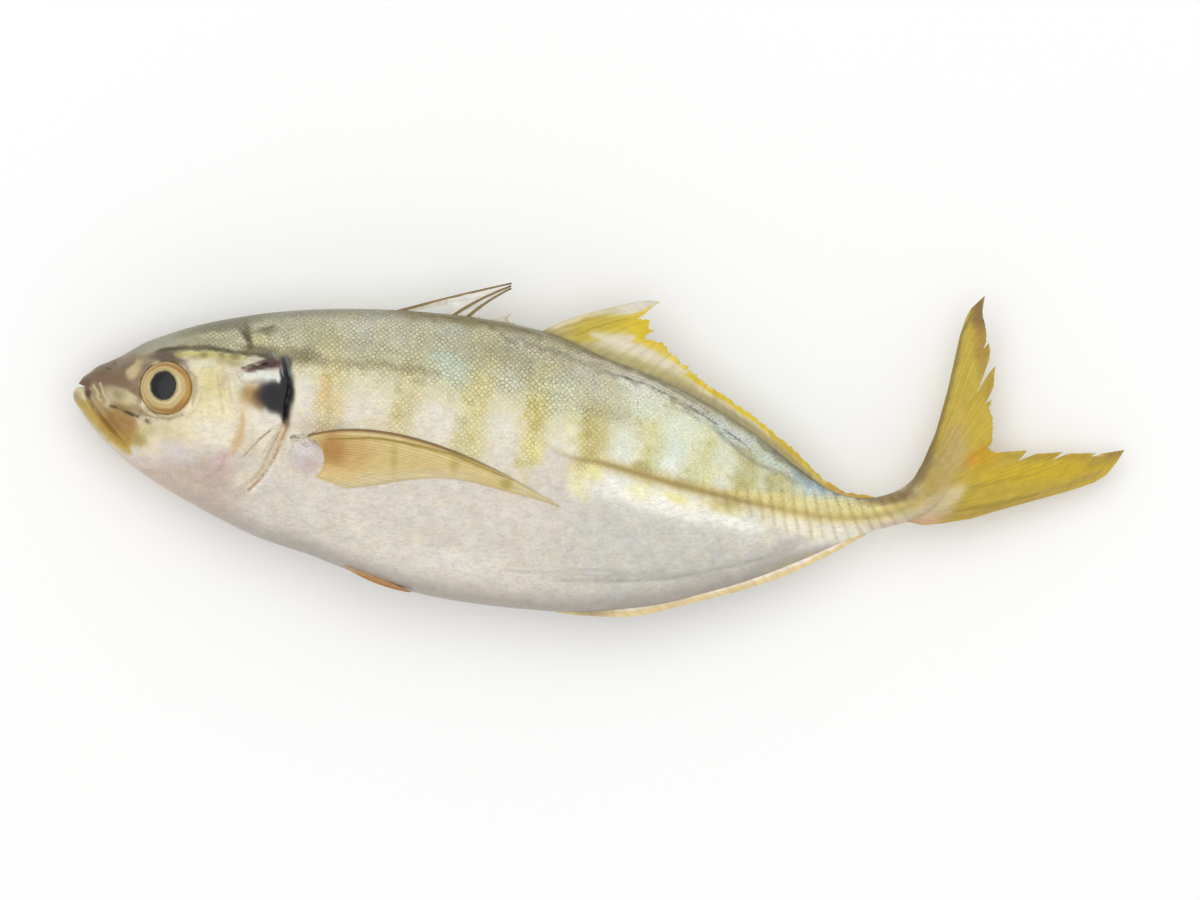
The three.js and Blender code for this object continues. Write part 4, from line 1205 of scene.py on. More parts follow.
CREASES = (
    Crease("#403b26",
           ((-104.8, 23.3), (-98.4, 24.1), (-91.6, 23.8), (-84.1, 22.8), (-77.8, 22.1)), 0.4, 0.62),
    Crease("#4a3a26", ((-116.6, 10.4), (-113.6, 9.6), (-110.9, 8.3), (-105.8, 6.2)), 0.55, 0.95),
    # Along the mouth's cleft: the lips' own brown at its front, and painted shade along the rest
    Crease("#6d4c2a",
           ((-122.2, 14.4), (-120.4, 10.8), (-118.5, 8.2), (-116.2, 5.3), (-113.4, 2.2)), 0.4, 0.5),
    Crease("#77603f", ((-119.5, 14.9), (-118.7, 12.9), (-117.3, 10.6)), 0.25, 0.6),
    Crease("#84663f", ((-84.6, -2), (-80.1, 2.7), (-75.4, 6.4)), 0.25, 0.7),
    Crease("#a8794a", ((-73.4, 7.8), (-74.8, 3), (-78.3, -4.2), (-82.8, -9.3), (-87, -11.6)), 0.42, 0.8),
    Crease("#9f8768", ((-75.6, 6.2), (-77.4, 2.6), (-80.2, -1.8)), 0.25, 0.35),
    Crease("#4a4330", ((-86.4, 29.7), (-83.9, 26.9), (-82.4, 23.6)), 0.55, 0.75),
    Crease("#575039", ((-83.9, 27.1), (-80.1, 28.4), (-76.4, 29.3)), 0.4, 0.6),
    # Painted shade: a dark line along the top of the pectoral fin's root, where the fin meets the flank
    Crease("#54452f", ((-73.4, 2.8), (-70.4, 3.1), (-66.6, 3.6)), 0.5, 0.9),
    Crease("#8b8177", ((-70.6, 1.8), (-69.4, 0.8), (-67.6, 1.4)), 0.3, 0.6),
    Crease("#a9998d", ((-72.2, 2), (-73.4, -2), (-71.6, -5.6)), 0.4, 0.35),
    Crease("#3f2f2a", ((-85.2, 19), (-80.8, 20.6), (-76.6, 22)), 0.3, 0.8),
    Crease("#a1967e", ((-86, 18.3), (-84.9, 16.4), (-83.4, 15.4)), 0.3, 0.5),
    Crease("#6f5f3a", ((-50, 33), (-37.9, 31.5), (-28.4, 30.3), (-20.3, 28.9), (-14.8, 27.2)), 0.34, 0.8),
    Crease("#5d594b",
           ((0.6, 18.7), (9.5, 15.9), (14.1, 13.9), (21.4, 10.1), (30.9, 3.7), (37, -0.9)), 0.3, 0.75),
    Crease("#6d695a", ((-6, 24.2), (3, 20.7), (12, 16.9), (20, 12.6), (28, 7.4)), 0.35, 0.6),
    Crease("#7d7b6c", ((15, 10.6), (21.6, 8.2), (28.5, 3.7), (34.9, -1.8), (41.6, -5.3)), 0.4, 0.5),
    Crease("#565b58", ((40.5, 0.2), (47.5, -5), (53.4, -8.6), (59.4, -11), (66.5, -11.9)), 0.4, 0.75),
    Crease("#908e87", ANAL_FOLD, 0.45, 0.5),
    Crease("#a19e98", ((-24, -28.2), (-14, -29.2), (-4, -28.4), (6, -28.8)), 0.4, 0.35),
    Crease("#6b5840",
           ((-110, 12.4), (-108.8, 9.4), (-106.6, 8), (-103.4, 7.2), (-100.4, 7.8)), 0.25, 0.55),
    Crease("#9c8c74", ((-98.2, 7.4), (-95.4, 9.8), (-94.2, 13.6)), 0.4, 0.35),
    Crease("#a89b78", ((-90.6, 18.9), (-89.9, 13.6), (-89, 8)), 0.45, 0.45),
    Crease("#b3a684", ((-88.2, 18.6), (-87.7, 14.4), (-86.9, 11)), 0.4, 0.4),
    Crease("#b5a98c", ((-92.6, 18.4), (-92.2, 15)), 0.3, 0.3),
    Crease("#b09a86", ((-96.6, -7), (-92.4, -8.6), (-88, -8.2)), 0.4, 0.4),
    Crease("#75654a", ((62.5, -13.7), (69, -12.7), (75, -9.3), (78.6, -5.2)), 0.3, 0.35),
)


@dataclass
class Body:
    """The fish's body: a tube of leaning cross-sections from lips to tail, with its relief and paint."""

    finishes: Finishes
    around: int = 210
    head_step: float = 0.32
    trunk_step: float = 0.64
    tail_step: float = 0.46
    lip_rings: int = 26
    extra_rings: float = 6.0
    last_gap: float = 0.06
    bar_half_width: float = 3.5
    bar_lean: float = 0.2

    def ring_places(self) -> Array:
        """Stations of the rings.

        The lips have evenly spread ones. From there to a small gap before the last station, rings are
        spread by adding up one over the wanted step along the body, and taking equal parts of that sum. A
        few rings more go to the stations that lie close together.

        Returns:
            Places counted in stations.
        """
        last = len(BODY_STATIONS) - 1
        dense = np.linspace(LIP_STATION, last - self.last_gap, 4000)
        rows = spline(BODY_STATIONS, dense)
        x = 0.5 * (rows[:, 0] + rows[:, 2])
        step = self.head_step + (self.trunk_step - self.head_step) * smooth(x, -78, -62)
        step += (self.tail_step - self.trunk_step) * smooth(x, -5, 18)
        total = np.concatenate([[0.0], np.cumsum(np.abs(np.diff(x)) / step[1:])])
        total += np.linspace(0.0, self.extra_rings, len(total))
        even = np.interp(np.linspace(0.0, total[-1], int(total[-1])), total, dense)
        lips = np.linspace(0.0, LIP_STATION, self.lip_rings + 1)[1:-1]
        return np.concatenate([lips, even])

    def angles(self) -> Array:
        """Spreads the points round a ring.

        Returns:
            The angles, closer together on the flanks, where the same angle spans more skin.
        """
        dense = np.linspace(0.0, np.pi, 2000)
        speed = np.hypot(1.5 * np.sin(dense), np.cos(dense)) + 0.15
        total = np.concatenate([[0.0], np.cumsum(0.5 * (speed[1:] + speed[:-1]))])
        half = np.interp(np.linspace(0.0, total[-1], self.around // 2 + 1), total, dense)
        return np.concatenate([half, 2 * np.pi - half[-2:0:-1]])

    def section_points(self, u: Array, angle: Array) -> tuple[Array, Array, Array]:
        """Points of the bare body.

        A ring runs from the back's point over the flank to the belly's point: its height share is the
        cosine of the angle, and its width the sine, to a power that grows behind the belly so that the tail
        is a lens.

        Args:
            u: The rings' stations.
            angle: Angles round a ring, 0 on the back.

        Returns:
            x, y and z, with z counted from the mid-plane, each in the order ring, place round it.
        """
        top_x, top_y, low_x, low_y, width = spline(BODY_STATIONS, u).T[:, :, None]
        h, side = np.cos(angle)[None, :], np.sin(angle)[None, :]
        side = np.where(np.abs(side) < 1e-9, 0.0, side)
        sharpness = 1.0 + TAIL_SHARPNESS * smooth(0.5 * (top_x + low_x), -10, 45)
        z = np.maximum(width, 0.0) * np.sign(side) * np.abs(side) ** sharpness * (1.0 + UPPER_EGG * h)
        x = 0.5 * ((1 + h) * top_x + (1 - h) * low_x)
        y = 0.5 * ((1 + h) * top_y + (1 - h) * low_y)
        return x, y, z

    def scutes(self, x: Array, line: NearLine) -> Array:
        """The row of keeled scutes: a ridge along the lateral line, with a rib on each scute's middle.

        Args:
            x: The vertices' x.
            line: How they lie to the lateral line.

        Returns:
            Millimetres away from the mid-plane.
        """
        scuted = span(x, 5, 50, 74, 80)
        half_height = 1.3 + 3.2 * smooth(x, 0, 55)
        ridge = bell(line.distance, half_height)
        slant = line.arc + SCUTE_SLANT * line.distance + 0.8
        rib = 0.5 - 0.5 * np.cos(2 * np.pi * slant / SCUTE_PITCH)
        keel = 0.25 * bell(line.distance, 0.6) * smooth(x, 40, 60)
        return scuted * (ridge * (SCUTE_RIDGE + SCUTE_RIB * rib * smooth(x, 14, 26)) + keel)

    def relief(self, x: Array, y: Array, line: NearLine) -> Array:
        """Adds up the swellings, scutes and grooves, the eye's rim and its socket.

        Args:
            x: The vertices' x in side view.
            y: Their y.
            line: How they lie to the lateral line.

        Returns:
            Millimetres away from the mid-plane.
        """
        out = self.scutes(x, line)
        for swelling in SWELLINGS:
            out += swelling.rise(x, y)
        for groove in GROOVES:
            out += groove.rise(x, y)
        from_eye = np.hypot(x - EYE_CENTRE[0], y - EYE_CENTRE[1])
        out += EYE_RIM_HEIGHT * bell(from_eye - EYE_RIM_RADIUS, EYE_RIM_HALF_WIDTH)
        out -= EYE_SOCKET_DEPTH * smooth(from_eye, EYE_RADIUS, EYE_RADIUS - 0.5)
        # Muscle bands under thin skin, a few millimetres wide
        muscle = wander(x, y, 5.0, 11) * 0.08 + wander(x, y, 1.8, 12) * 0.035
        return out + muscle * smooth(x, -118, -100)

    def open_lips(self, x: Array, y: Array) -> Array:
        """Keeps the notch between the lips open.

        The notch is a wedge from a point at the cleft, and a vertex inside it moves back to the wedge's
        wall.

        Args:
            x: The skin's x.
            y: The skin's y.

        Returns:
            The new x.
        """
        up = y - NOTCH[1]
        wall = NOTCH[0] - up * np.where(up >= 0.0, NOTCH_UPPER_WALL, -NOTCH_LOWER_WALL)
        inside = (x < wall) & (up < NOTCH_TOP) & (up > NOTCH_BOTTOM)
        return np.where(inside, wall, x)

    def paint(self, x: Array, y: Array, rise: Array, height: Array, line: NearLine) -> tuple[Array, Array]:
        """Lays the colours of the whole skin.

        Args:
            x: Vertices' x in side view.
            y: Vertices' y in side view.
            rise: Share of the way from the belly's edge to the back's.
            height: The section's height there.
            line: How the vertices lie to the lateral line.

        Returns:
            Linear colours, and the shares of the scale net, the belly's hairs and the back's specks.
        """
        coat = Coat(x, y, "#dcd4c8")
        wide, fine, tiny = (wander(x, y, size, seed) for size, seed in ((6.0, 21), (1.6, 22), (0.7, 23)))
        rough = 0.9 * wide + 0.8 * fine + 0.5 * tiny
        above = y - height_of(LATERAL_LINE, np.clip(x, -76.0, 83.0))
        from_back = height * (1.0 - rise)
        from_belly = height * rise
        dark = y - height_of(DARK_BACK_EDGE, np.clip(x, -84.0, 62.0)) + 1.5 * rough
        trunk = smooth(x, -79, -72)
        rear = smooth(x, -20, -8)

        # Head, throat and belly
        coat.lay("#cfccc3", smooth(x, -20, 6) * smooth(above + rough, 0, -7) * 0.9)
        coat.lay("#e8dbb8", smooth(x, -80, -90) * smooth(y + rough, -3, 4))
        coat.lay("#ccb9ab", smooth(x, -80, -92) * smooth(y + rough, 1, -6))
        # Painted shade: greyer along the lower edge of the head, throat and belly, where the skin turns down
        # towards the table
        coat.lay("#a29a91", smooth(from_belly, 6, 0) * smooth(x, -112, -70) * 0.85)

        # Cream and sage of the upper flank, and the white band under the lateral line
        upper = smooth(y + rough, -9, 3) * (1.0 - rear) + smooth(above, -1.2, 0.8) * rear
        upper *= trunk
        coat.lay("#e5dec9", upper)
        coat.lay("#e4e5cf", upper * smooth(x, -12, 6))
        pearl = bell(above + 4.4 + 0.8 * wide, 3.8, 1.3) * span(x, -9, 0, 58, 68)
        coat.lay("#fbf8ec", pearl * smooth(above, 0.4, -0.8) * (0.8 + 0.2 * fine))

        # The back, darker upwards in three steps
        coat.lay("#ddd9b2", smooth(dark, -10, -3) * trunk * (0.75 - 0.45 * smooth(x, -2, 12)))
        back = smooth(x, -98, -88)
        deep = back * (1.0 - 0.5 * smooth(x, -18, 2))
        coat.lay("#cac8a8", smooth(dark, -4.5, 2) * deep * 0.9)
        coat.lay("#bdbba2", smooth(dark, 0.5, 6.5) * deep * 0.85)
        coat.lay("#cac9b6", smooth(dark, 5.5, 10) * back * 0.5 * (1.0 - smooth(x, -35, -10)))

        bars = np.zeros(len(x))
        for bar in BARS:
            across = x - bar.middle[0] - self.bar_lean * (y - bar.middle[1]) + rough
            share = bar.strength * bell(across, self.bar_half_width, 1.4)
            share *= 0.3 + 0.7 * smooth(dark, 4, -3)
            share *= smooth(y + rough - bar.low_end, -2.5, 2.5) * (0.85 + 0.2 * fine)
            coat.lay(bar.colour, share)
            bars = np.maximum(bars, share)
        coat.lay("#b5a552", bars * smooth(fine + tiny, 0.1, 1.2) * 0.45)
        coat.lay("#f3edae", bars * smooth(-fine - tiny, 0.2, 1.3) * 0.5)
        coat.lay("#8a866e", smooth(from_back, 3.2, 0.2) * span(x, -110, -90, 50, 60) * 0.8)

        coat.lay_marks(FLANK_MARKS, 0.9, 31)
        self.paint_scutes(coat, x, line)
        coat.lay_marks(STALK_MARKS, 0.3, 33)
        coat.lay_marks(HEAD_MARKS, 0.35, 35)

        dark_skin = back * smooth(dark, -6, 1)
        net = dark_skin * (1.0 - 0.8 * smooth(x, -16, 6))
        net += 0.75 * bars * (1.0 - 0.7 * smooth(x, -10, 8))
        net += 0.35 * span(x, -106, -98, -86, -80) * smooth(y, 22.5, 25)
        net = np.clip(net + 0.12 * upper, 0, 0.95) * (1.0 - smooth(x, 40, 60))
        gill = smooth(x, -72.5, -73.5) * smooth(y, 24, 22.6)
        net *= 1.0 - gill
        spot = span(x, -84, -83, -72, -71) * smooth(y, 6, 8)
        hairs = smooth(x, -112, -90) * (0.35 + 0.65 * smooth(above, 2, -6)) * (1.0 - 0.7 * bars)
        hairs *= (1.0 - spot) * (1.0 - 0.8 * smooth(x, 60, 70))
        specks = dark_skin * (0.35 + smooth(x, -34, -6)) + 0.5 * upper * smooth(x, -6, 6)
        specks *= 1.0 - smooth(x, 58, 68)
        specks += 0.45 * smooth(x, -104, -110) * smooth(y, 13, 17)
        specks = np.clip(specks, 0.0, 0.9) * (1.0 - gill)
        return coat.linear(), np.stack([net, hairs, specks], -1)

    def paint_scutes(self, coat: Coat, x: Array, line: NearLine) -> None:
        """Colours the scutes: nearly white below the lateral line, yellow above it, ochre along it.

        Args:
            coat: The skin's colours.
            x: The vertices' x.
            line: How they lie to the lateral line.
        """
        reach = 1.5 + 4.2 * smooth(x, 20, 52)
        lower = smooth(line.distance, 0.2, -0.8) * smooth(-line.distance, reach + 1, reach - 1.5)
        upper = smooth(line.distance, -0.2, 0.6) * smooth(line.distance, reach * 0.9, reach * 0.5)
        coat.lay("#f6efda", lower * span(x, 26, 46, 68, 76) * 0.9)
        coat.lay("#ecdd92", upper * span(x, 8, 34, 68, 76) * 0.7)
        along = span(x, -8, 6, 72, 80) * (0.75 - 0.4 * smooth(x, 28, 44))
        coat.lay("#bda662", bell(line.distance, 1.4) * along)
        coat.lay("#e0c86a", bell(line.distance + 0.2, 1.3) * smooth(x, 34, 44) * 0.5)

    def creases(self, x: Array, y: Array) -> tuple[Array, Array, Array]:
        """How the vertices lie to the nearest crease.

        Args:
            x: Vertices' x in side view.
            y: Vertices' y in side view.

        Returns:
            The distance counted in half widths, the crease's strength there, and its linear colour.
        """
        distance, strength = np.full(x.shape, 9.0), np.zeros(x.shape)
        colours = np.tile(to_linear(hex_values("#8a7a5c")), (len(x), 1))
        for crease in CREASES:
            near = near_line(crease.line, x, y, reach=2.0)
            away = near.distance / crease.half_width
            closer = np.abs(away) < np.minimum(np.abs(distance), 5.0)
            taper = smooth(np.minimum(near.share, 1.0 - near.share), 0.002, 0.06)
            distance = np.where(closer, away, distance)
            strength = np.where(closer, crease.strength * taper * smooth(np.abs(away), 4.8, 3), strength)
            colours[closer] = to_linear(hex_values(crease.colour))
        return distance, strength, colours

    def line_patterns(self, x: Array, line: NearLine) -> tuple[Array, Array]:
        """How strongly the shader draws the lateral line and the scutes' gaps at each vertex.

        Args:
            x: Vertices' x in side view.
            line: How the vertices lie to the lateral line.

        Returns:
            The line's share and the gaps' share, each a product of soft steps along the body.
        """
        drawn = span(x, -12, 0, 70, 80) * (0.8 - 0.45 * smooth(x, 28, 46))
        drawn += 0.25 * span(x, -18, -12, -12, 0)
        reach = 1.5 + 4.6 * smooth(x, 20, 52)
        gaps = smooth(np.abs(line.distance), reach + 0.6, reach - 1.6) * span(x, 12, 34, 68, 78)
        return drawn, 0.9 * gaps

    def build(self) -> bpy.types.Object:
        """Works out the skin's points, paint and patterns, and makes the piece.

        Returns:
            The body.
        """
        u, angle = self.ring_places(), self.angles()
        x, y, z = self.section_points(u, angle)
        rings, around = x.shape
        rows = spline(BODY_STATIONS, u)
        height = np.hypot(rows[:, 0] - rows[:, 2], rows[:, 1] - rows[:, 3])[:, None] + 0 * x
        rise = 0.5 * (1.0 + np.cos(angle))[None, :] + 0 * x
        flat_x, flat_y = x.ravel(), y.ravel()
        line = near_line(LATERAL_LINE, flat_x, flat_y, reach=70.0)
        out = self.relief(flat_x, flat_y, line).reshape(x.shape)
        z = z + np.sign(z) * out * np.sqrt(np.abs(np.sin(angle)))[None, :]

        # The pattern's place: x, and the way down the skin from the flank's middle, the same on both sides
        arc = np.hypot(np.hypot(np.diff(x, axis=1), np.diff(y, axis=1)), np.diff(z, axis=1))
        down = np.concatenate([np.zeros((rings, 1)), np.cumsum(arc, axis=1)], axis=1)
        half = around // 2
        down[:, half + 1 :] = down[:, half - 1 : 0 : -1]
        quarter = int(np.searchsorted(angle, 0.5 * np.pi))
        unrolled = 0.5 * (rows[:, 1] + rows[:, 3])[:, None] + down[:, quarter, None] - down

        colours, cover = self.paint(flat_x, flat_y, rise.ravel(), height.ravel(), line)
        drawn, gaps = self.line_patterns(flat_x, line)
        folds, fold_strength, ink = self.creases(flat_x, flat_y)
        points = np.stack([self.open_lips(x, y), y, rest_on_table(mid_plane(x) + z)], -1)
        first, last = (np.array([*point, float(mid_plane(point[0]))]) for point in (FIRST_POINT, LAST_POINT))
        surface = closed_tube(points, first, last)
        surface.dress(colours, np.stack([x, unrolled], -1))
        surface.colours["ink"] = surface.for_all(ink)
        surface.vectors["cover"] = surface.for_all(cover)
        surface.vectors["keel"] = surface.for_all(np.stack([line.distance, line.arc, drawn], -1))
        surface.vectors["crease"] = surface.for_all(np.stack([folds, fold_strength, gaps], -1))
        return carry(surface.to_object("body_skin", self.finishes.skin, sharp_over=70.0))

    def half_thickness(self, x: Array, y: Array) -> Array:
        """Half the bare body's thickness at points in side view.

        The station whose line from back to belly runs through the point is found by halving, 30 times.

        Args:
            x: The points' x.
            y: The points' y.

        Returns:
            Half the thickness at each point.
        """
        low = np.full(x.shape, LIP_STATION)
        high = np.full(x.shape, len(BODY_STATIONS) - 2.0)
        for _ in range(30):
            u = 0.5 * (low + high)
            top_x, top_y, low_x, low_y, _width = np.moveaxis(spline(BODY_STATIONS, u), -1, 0)
            ahead = (x - low_x) * (top_y - low_y) - (y - low_y) * (top_x - low_x) > 0
            low, high = np.where(ahead, u, low), np.where(ahead, high, u)
        top_x, top_y, low_x, low_y, width = np.moveaxis(spline(BODY_STATIONS, low), -1, 0)
        length2 = (top_x - low_x) ** 2 + (top_y - low_y) ** 2
        h = 2.0 * ((x - low_x) * (top_x - low_x) + (y - low_y) * (top_y - low_y)) / length2 - 1.0
        h = np.clip(h, -1.0, 1.0)
        sharpness = 1.0 + TAIL_SHARPNESS * smooth(0.5 * (top_x + low_x), -10, 45)
        return width * np.sqrt(1.0 - h * h) ** sharpness * (1.0 + UPPER_EGG * h)


# The eyes


@dataclass
class Eye:
    """One eyeball: a flattened ball with a raised gold iris round a black pupil that lies lower."""

    body: Body
    side: Side
    rings: int = 90
    around: int = 144
    pupil: Point = (3.05, 3.4)
    pupil_offset: Point = (-0.25, 0.4)
    pupil_depth: float = 0.35
    iris_height: float = 0.12

    def from_pupil(self, x: Array, y: Array) -> Array:
        """Distance from the pupil's middle, counted in its radii."""
        dx, dy = x - self.pupil_offset[0], y - self.pupil_offset[1]
        return np.hypot(dx / self.pupil[0], dy / self.pupil[1])

    def paint(self, x: Array, y: Array, front: Array) -> Array:
        """Colours the eye from its middle outwards: pupil, pale ring, gold iris, orange rim.

        Args:
            x: Millimetres forward of the eye's middle, towards the tail.
            y: Millimetres towards the back.
            front: 1 on the side that looks out, 0 behind.

        Returns:
            Linear colours.
        """
        radius, angle = np.hypot(x, y), np.arctan2(y, x)
        ragged = 0.03 * wander(3.0 * np.cos(angle), 3.0 * np.sin(angle), 0.5, 41)
        pupil = self.from_pupil(x, y) + ragged
        uneven = radius + 0.25 * wander(2.0 * np.cos(angle), 2.0 * np.sin(angle), 0.6, 42)
        coat = Coat(x, y, "#c0ab75")
        coat.lay("#d6c594", bell(uneven - 3.75, 0.4) * 0.9)
        coat.lay("#b09d68", bell(uneven - 4.3, 0.18) * 0.5)
        coat.lay("#d2bb80", bell(uneven - 4.75, 0.28) * 0.8)
        coat.lay("#a98a52", bell(uneven - 5.15, 0.15) * 0.45)
        right = 0.5 + 0.5 * np.cos(angle + 0.35)
        coat.lay("#c69247", smooth(uneven, 4.95, 5.5) * smooth(right, 0.35, 0.95) * 0.65)
        coat.lay("#a37236", bell(uneven - 5.45, 0.45) * smooth(np.sin(angle), 0.2, 0.9) * 0.85)
        coat.lay("#9c6c36", bell(uneven - 5.6, 0.4) * smooth(-np.sin(angle), 0.3, 0.9) * 0.75)
        coat.lay("#c8ae72", smooth(uneven, 5.1, 5.6) * smooth(-np.cos(angle), 0.3, 0.9) * 0.6)
        coat.lay("#8a6b44", smooth(uneven, 5.9, 6.3) * 0.55)
        coat.lay("#9c8a5a", bell(pupil - 1.1, 0.08) * 0.6)
        coat.lay("#19181b", smooth(pupil, 1.07, 0.98) * front)
        coat.lay("#cfc7b4", 1.0 - front)
        return coat.linear()

    def build(self) -> bpy.types.Object:
        """Makes the eyeball.

        A half circle is turned about the line the eye looks along. On the front the iris swells by about a
        tenth of a millimetre, and the pupil is sunk by about a third of one.

        Returns:
            The eye.
        """
        sign = float(self.side.value)
        polar = np.linspace(0.0, np.pi, self.rings + 2)[1:-1]
        angle = np.linspace(0.0, 2 * np.pi, self.around, endpoint=False)
        radius = EYE_RADIUS * np.sin(polar)[:, None] + 0 * angle[None, :]
        x, y = radius * np.cos(angle), radius * np.sin(angle)
        out = EYE_HALF_THICKNESS * np.cos(polar)[:, None] + 0 * angle[None, :]
        front = (out > 0).astype(float)
        out += front * self.iris_height * bell(radius - 4.4, 0.8)
        out -= front * self.pupil_depth * smooth(self.from_pupil(x, y), 1.15, 0.95)
        forward = np.array([EYE_LEAN[0], EYE_LEAN[1], sign])
        forward /= np.linalg.norm(forward)
        right = np.cross([0.0, 1.0, 0.0], forward)
        right *= np.sign(right[0]) / np.linalg.norm(right)
        up = np.cross(forward, right)
        up *= np.sign(up[1])
        centre_xy = np.array([[EYE_CENTRE[0]], [EYE_CENTRE[1]]])
        depth = float(self.body.half_thickness(centre_xy[0], centre_xy[1])[0]) - EYE_BALL_DEPTH
        height = float(mid_plane(centre_xy[0])[0]) + sign * depth
        centre = np.array([EYE_CENTRE[0], EYE_CENTRE[1], height])
        points = centre + x[..., None] * right + y[..., None] * up + out[..., None] * forward
        tip = centre + (EYE_HALF_THICKNESS - self.pupil_depth) * forward
        surface = closed_tube(points, tip, centre - EYE_HALF_THICKNESS * forward)
        degrees = np.degrees(np.abs(angle - np.pi))[None, :] + 0 * radius
        surface.dress(self.paint(x.ravel(), y.ravel(), front.ravel()), np.stack([radius, degrees], -1))
        name = "eye_" + self.side.name.lower()
        return carry(surface.to_object(name, self.body.finishes.eye, sharp_over=80.0))


# Fins in the mid-plane


@dataclass(frozen=True)
class FanFin:
    """A fin that stands in the mid-plane, whose rays fan out from its root to a worn, split edge.

    A ray goes straight from its place on the root to its corner of the edge, bent sideways like the leading
    edge next to it: its bend at each share of the way is an offset to the left for each millimetre of
    length.
    """

    name: str
    root: Line
    edge: tuple[tuple[float, float, float], ...]
    lead: Line = ((0.0, 0.0), (1.0, 0.0))
    low_lead: Line = ((0.0, 0.0), (1.0, 0.0))
    thickness: Point = (1.6, 0.5)
    rays: int = 40
    columns: int = 420
    rows: int = 56
    fray: float = 0.4
    ripple: float = 0.3
    ground: str = "#bda745"
    marks: tuple[Patch | Streak, ...] = ()
    edge_colour: str = "#c9ad3c"
    edge_share: float = 0.0
    root_colour: str = "#b6ab7d"
    root_share: float = 0.0
    seed: int = 60

    def outline(self, place: Array, share: Array) -> tuple[Array, Array]:
        """Works out the fin's points in side view.

        Args:
            place: Places along the root, from 0 to 1.
            share: Shares of the way out, from 0 to 1.

        Returns:
            x and y, in the order place, share.
        """
        rooted = spline(self.root, place * (len(self.root) - 1))
        corners = np.asarray(self.edge, float)
        tip = np.stack([np.interp(place, corners[:, 0], corners[:, k]) for k in (1, 2)], -1)
        lead, low = np.asarray(self.lead, float), np.asarray(self.low_lead, float)
        front = np.maximum(1.0 - 2.0 * place, 0.0)[:, None] ** 1.5
        back = np.maximum(2.0 * place - 1.0, 0.0)[:, None] ** 1.5
        left = np.interp(share, lead[:, 0], lead[:, 1])[None, :] * front
        left = left + np.interp(share, low[:, 0], low[:, 1])[None, :] * back
        chord = (tip - rooted)[:, None, :]
        x = rooted[:, None, 0] + share[None, :] * chord[..., 0] - left * chord[..., 1]
        y = rooted[:, None, 1] + share[None, :] * chord[..., 1] + left * chord[..., 0]
        return x, y

    def places(self) -> Array:
        """Places of the columns: evenly spread ones, and one on every corner of the worn edge."""
        corners = np.asarray(self.edge, float)[:, 0]
        return np.unique(np.concatenate([np.linspace(0.0, 1.0, self.columns), corners]).round(5))

    def build(self, finishes: Finishes) -> bpy.types.Object:
        """Makes the fin as a sheet that thins towards its edge, with a ridge on each ray.

        Args:
            finishes: The object's finishes.

        Returns:
            The fin.
        """
        place = self.places()
        share = np.linspace(0.0, 1.0, self.rows)
        x, y = self.outline(place, share)
        length = np.hypot(x[:, -1] - x[:, 0], y[:, -1] - y[:, 0])[:, None] + 0 * x
        worn = self.fray * np.abs(wander(place * 90.0, 0 * place, 1.0, self.seed))[:, None]
        worn = worn * smooth(share, 0.75, 1)[None, :] / np.maximum(length, 1)
        x = x - worn * (x[:, -1:] - x[:, :1])
        y = y - worn * (y[:, -1:] - y[:, :1])
        count = place[:, None] * self.rays + 0 * x
        root_half, edge_half = 0.5 * self.thickness[0], 0.5 * self.thickness[1]
        half = root_half + (edge_half - root_half) * np.sqrt(share)[None, :] + 0 * x
        half = half * (0.9 + 0.1 * np.cos(2 * np.pi * count) * smooth(share, 0.02, 0.2)[None, :])
        middle = mid_plane(x) + self.ripple * share[None, :] * wander(count * 0.35, 0 * x, 1.0, self.seed + 1)
        top = np.stack([x, y, middle + half], -1)
        bottom = np.stack([x, y, middle - half], -1)
        surface = closed_sheet(top, bottom)
        coat = Coat(x.ravel(), y.ravel(), self.ground)
        out = (share[None, :] + 0 * x).ravel()
        ragged = 0.07 * wander(count.ravel(), out * 3.0, 0.6, self.seed + 2)
        if self.root_share > 0:
            rooted = smooth(out + 0.3 * ragged, self.root_share + 0.05, self.root_share - 0.05)
            coat.lay(self.root_colour, rooted)
        if self.edge_share > 0:
            edged = 1.0 - self.edge_share
            coat.lay(self.edge_colour, smooth(out + ragged, edged - 0.12, edged + 0.1))
        coat.lay_marks(self.marks, 0.2, self.seed + 3)
        surface.dress(coat.linear(), np.stack([count, share[None, :] * length], -1))
        return carry(surface.to_object(self.name, finishes.fin, sharp_over=60.0))


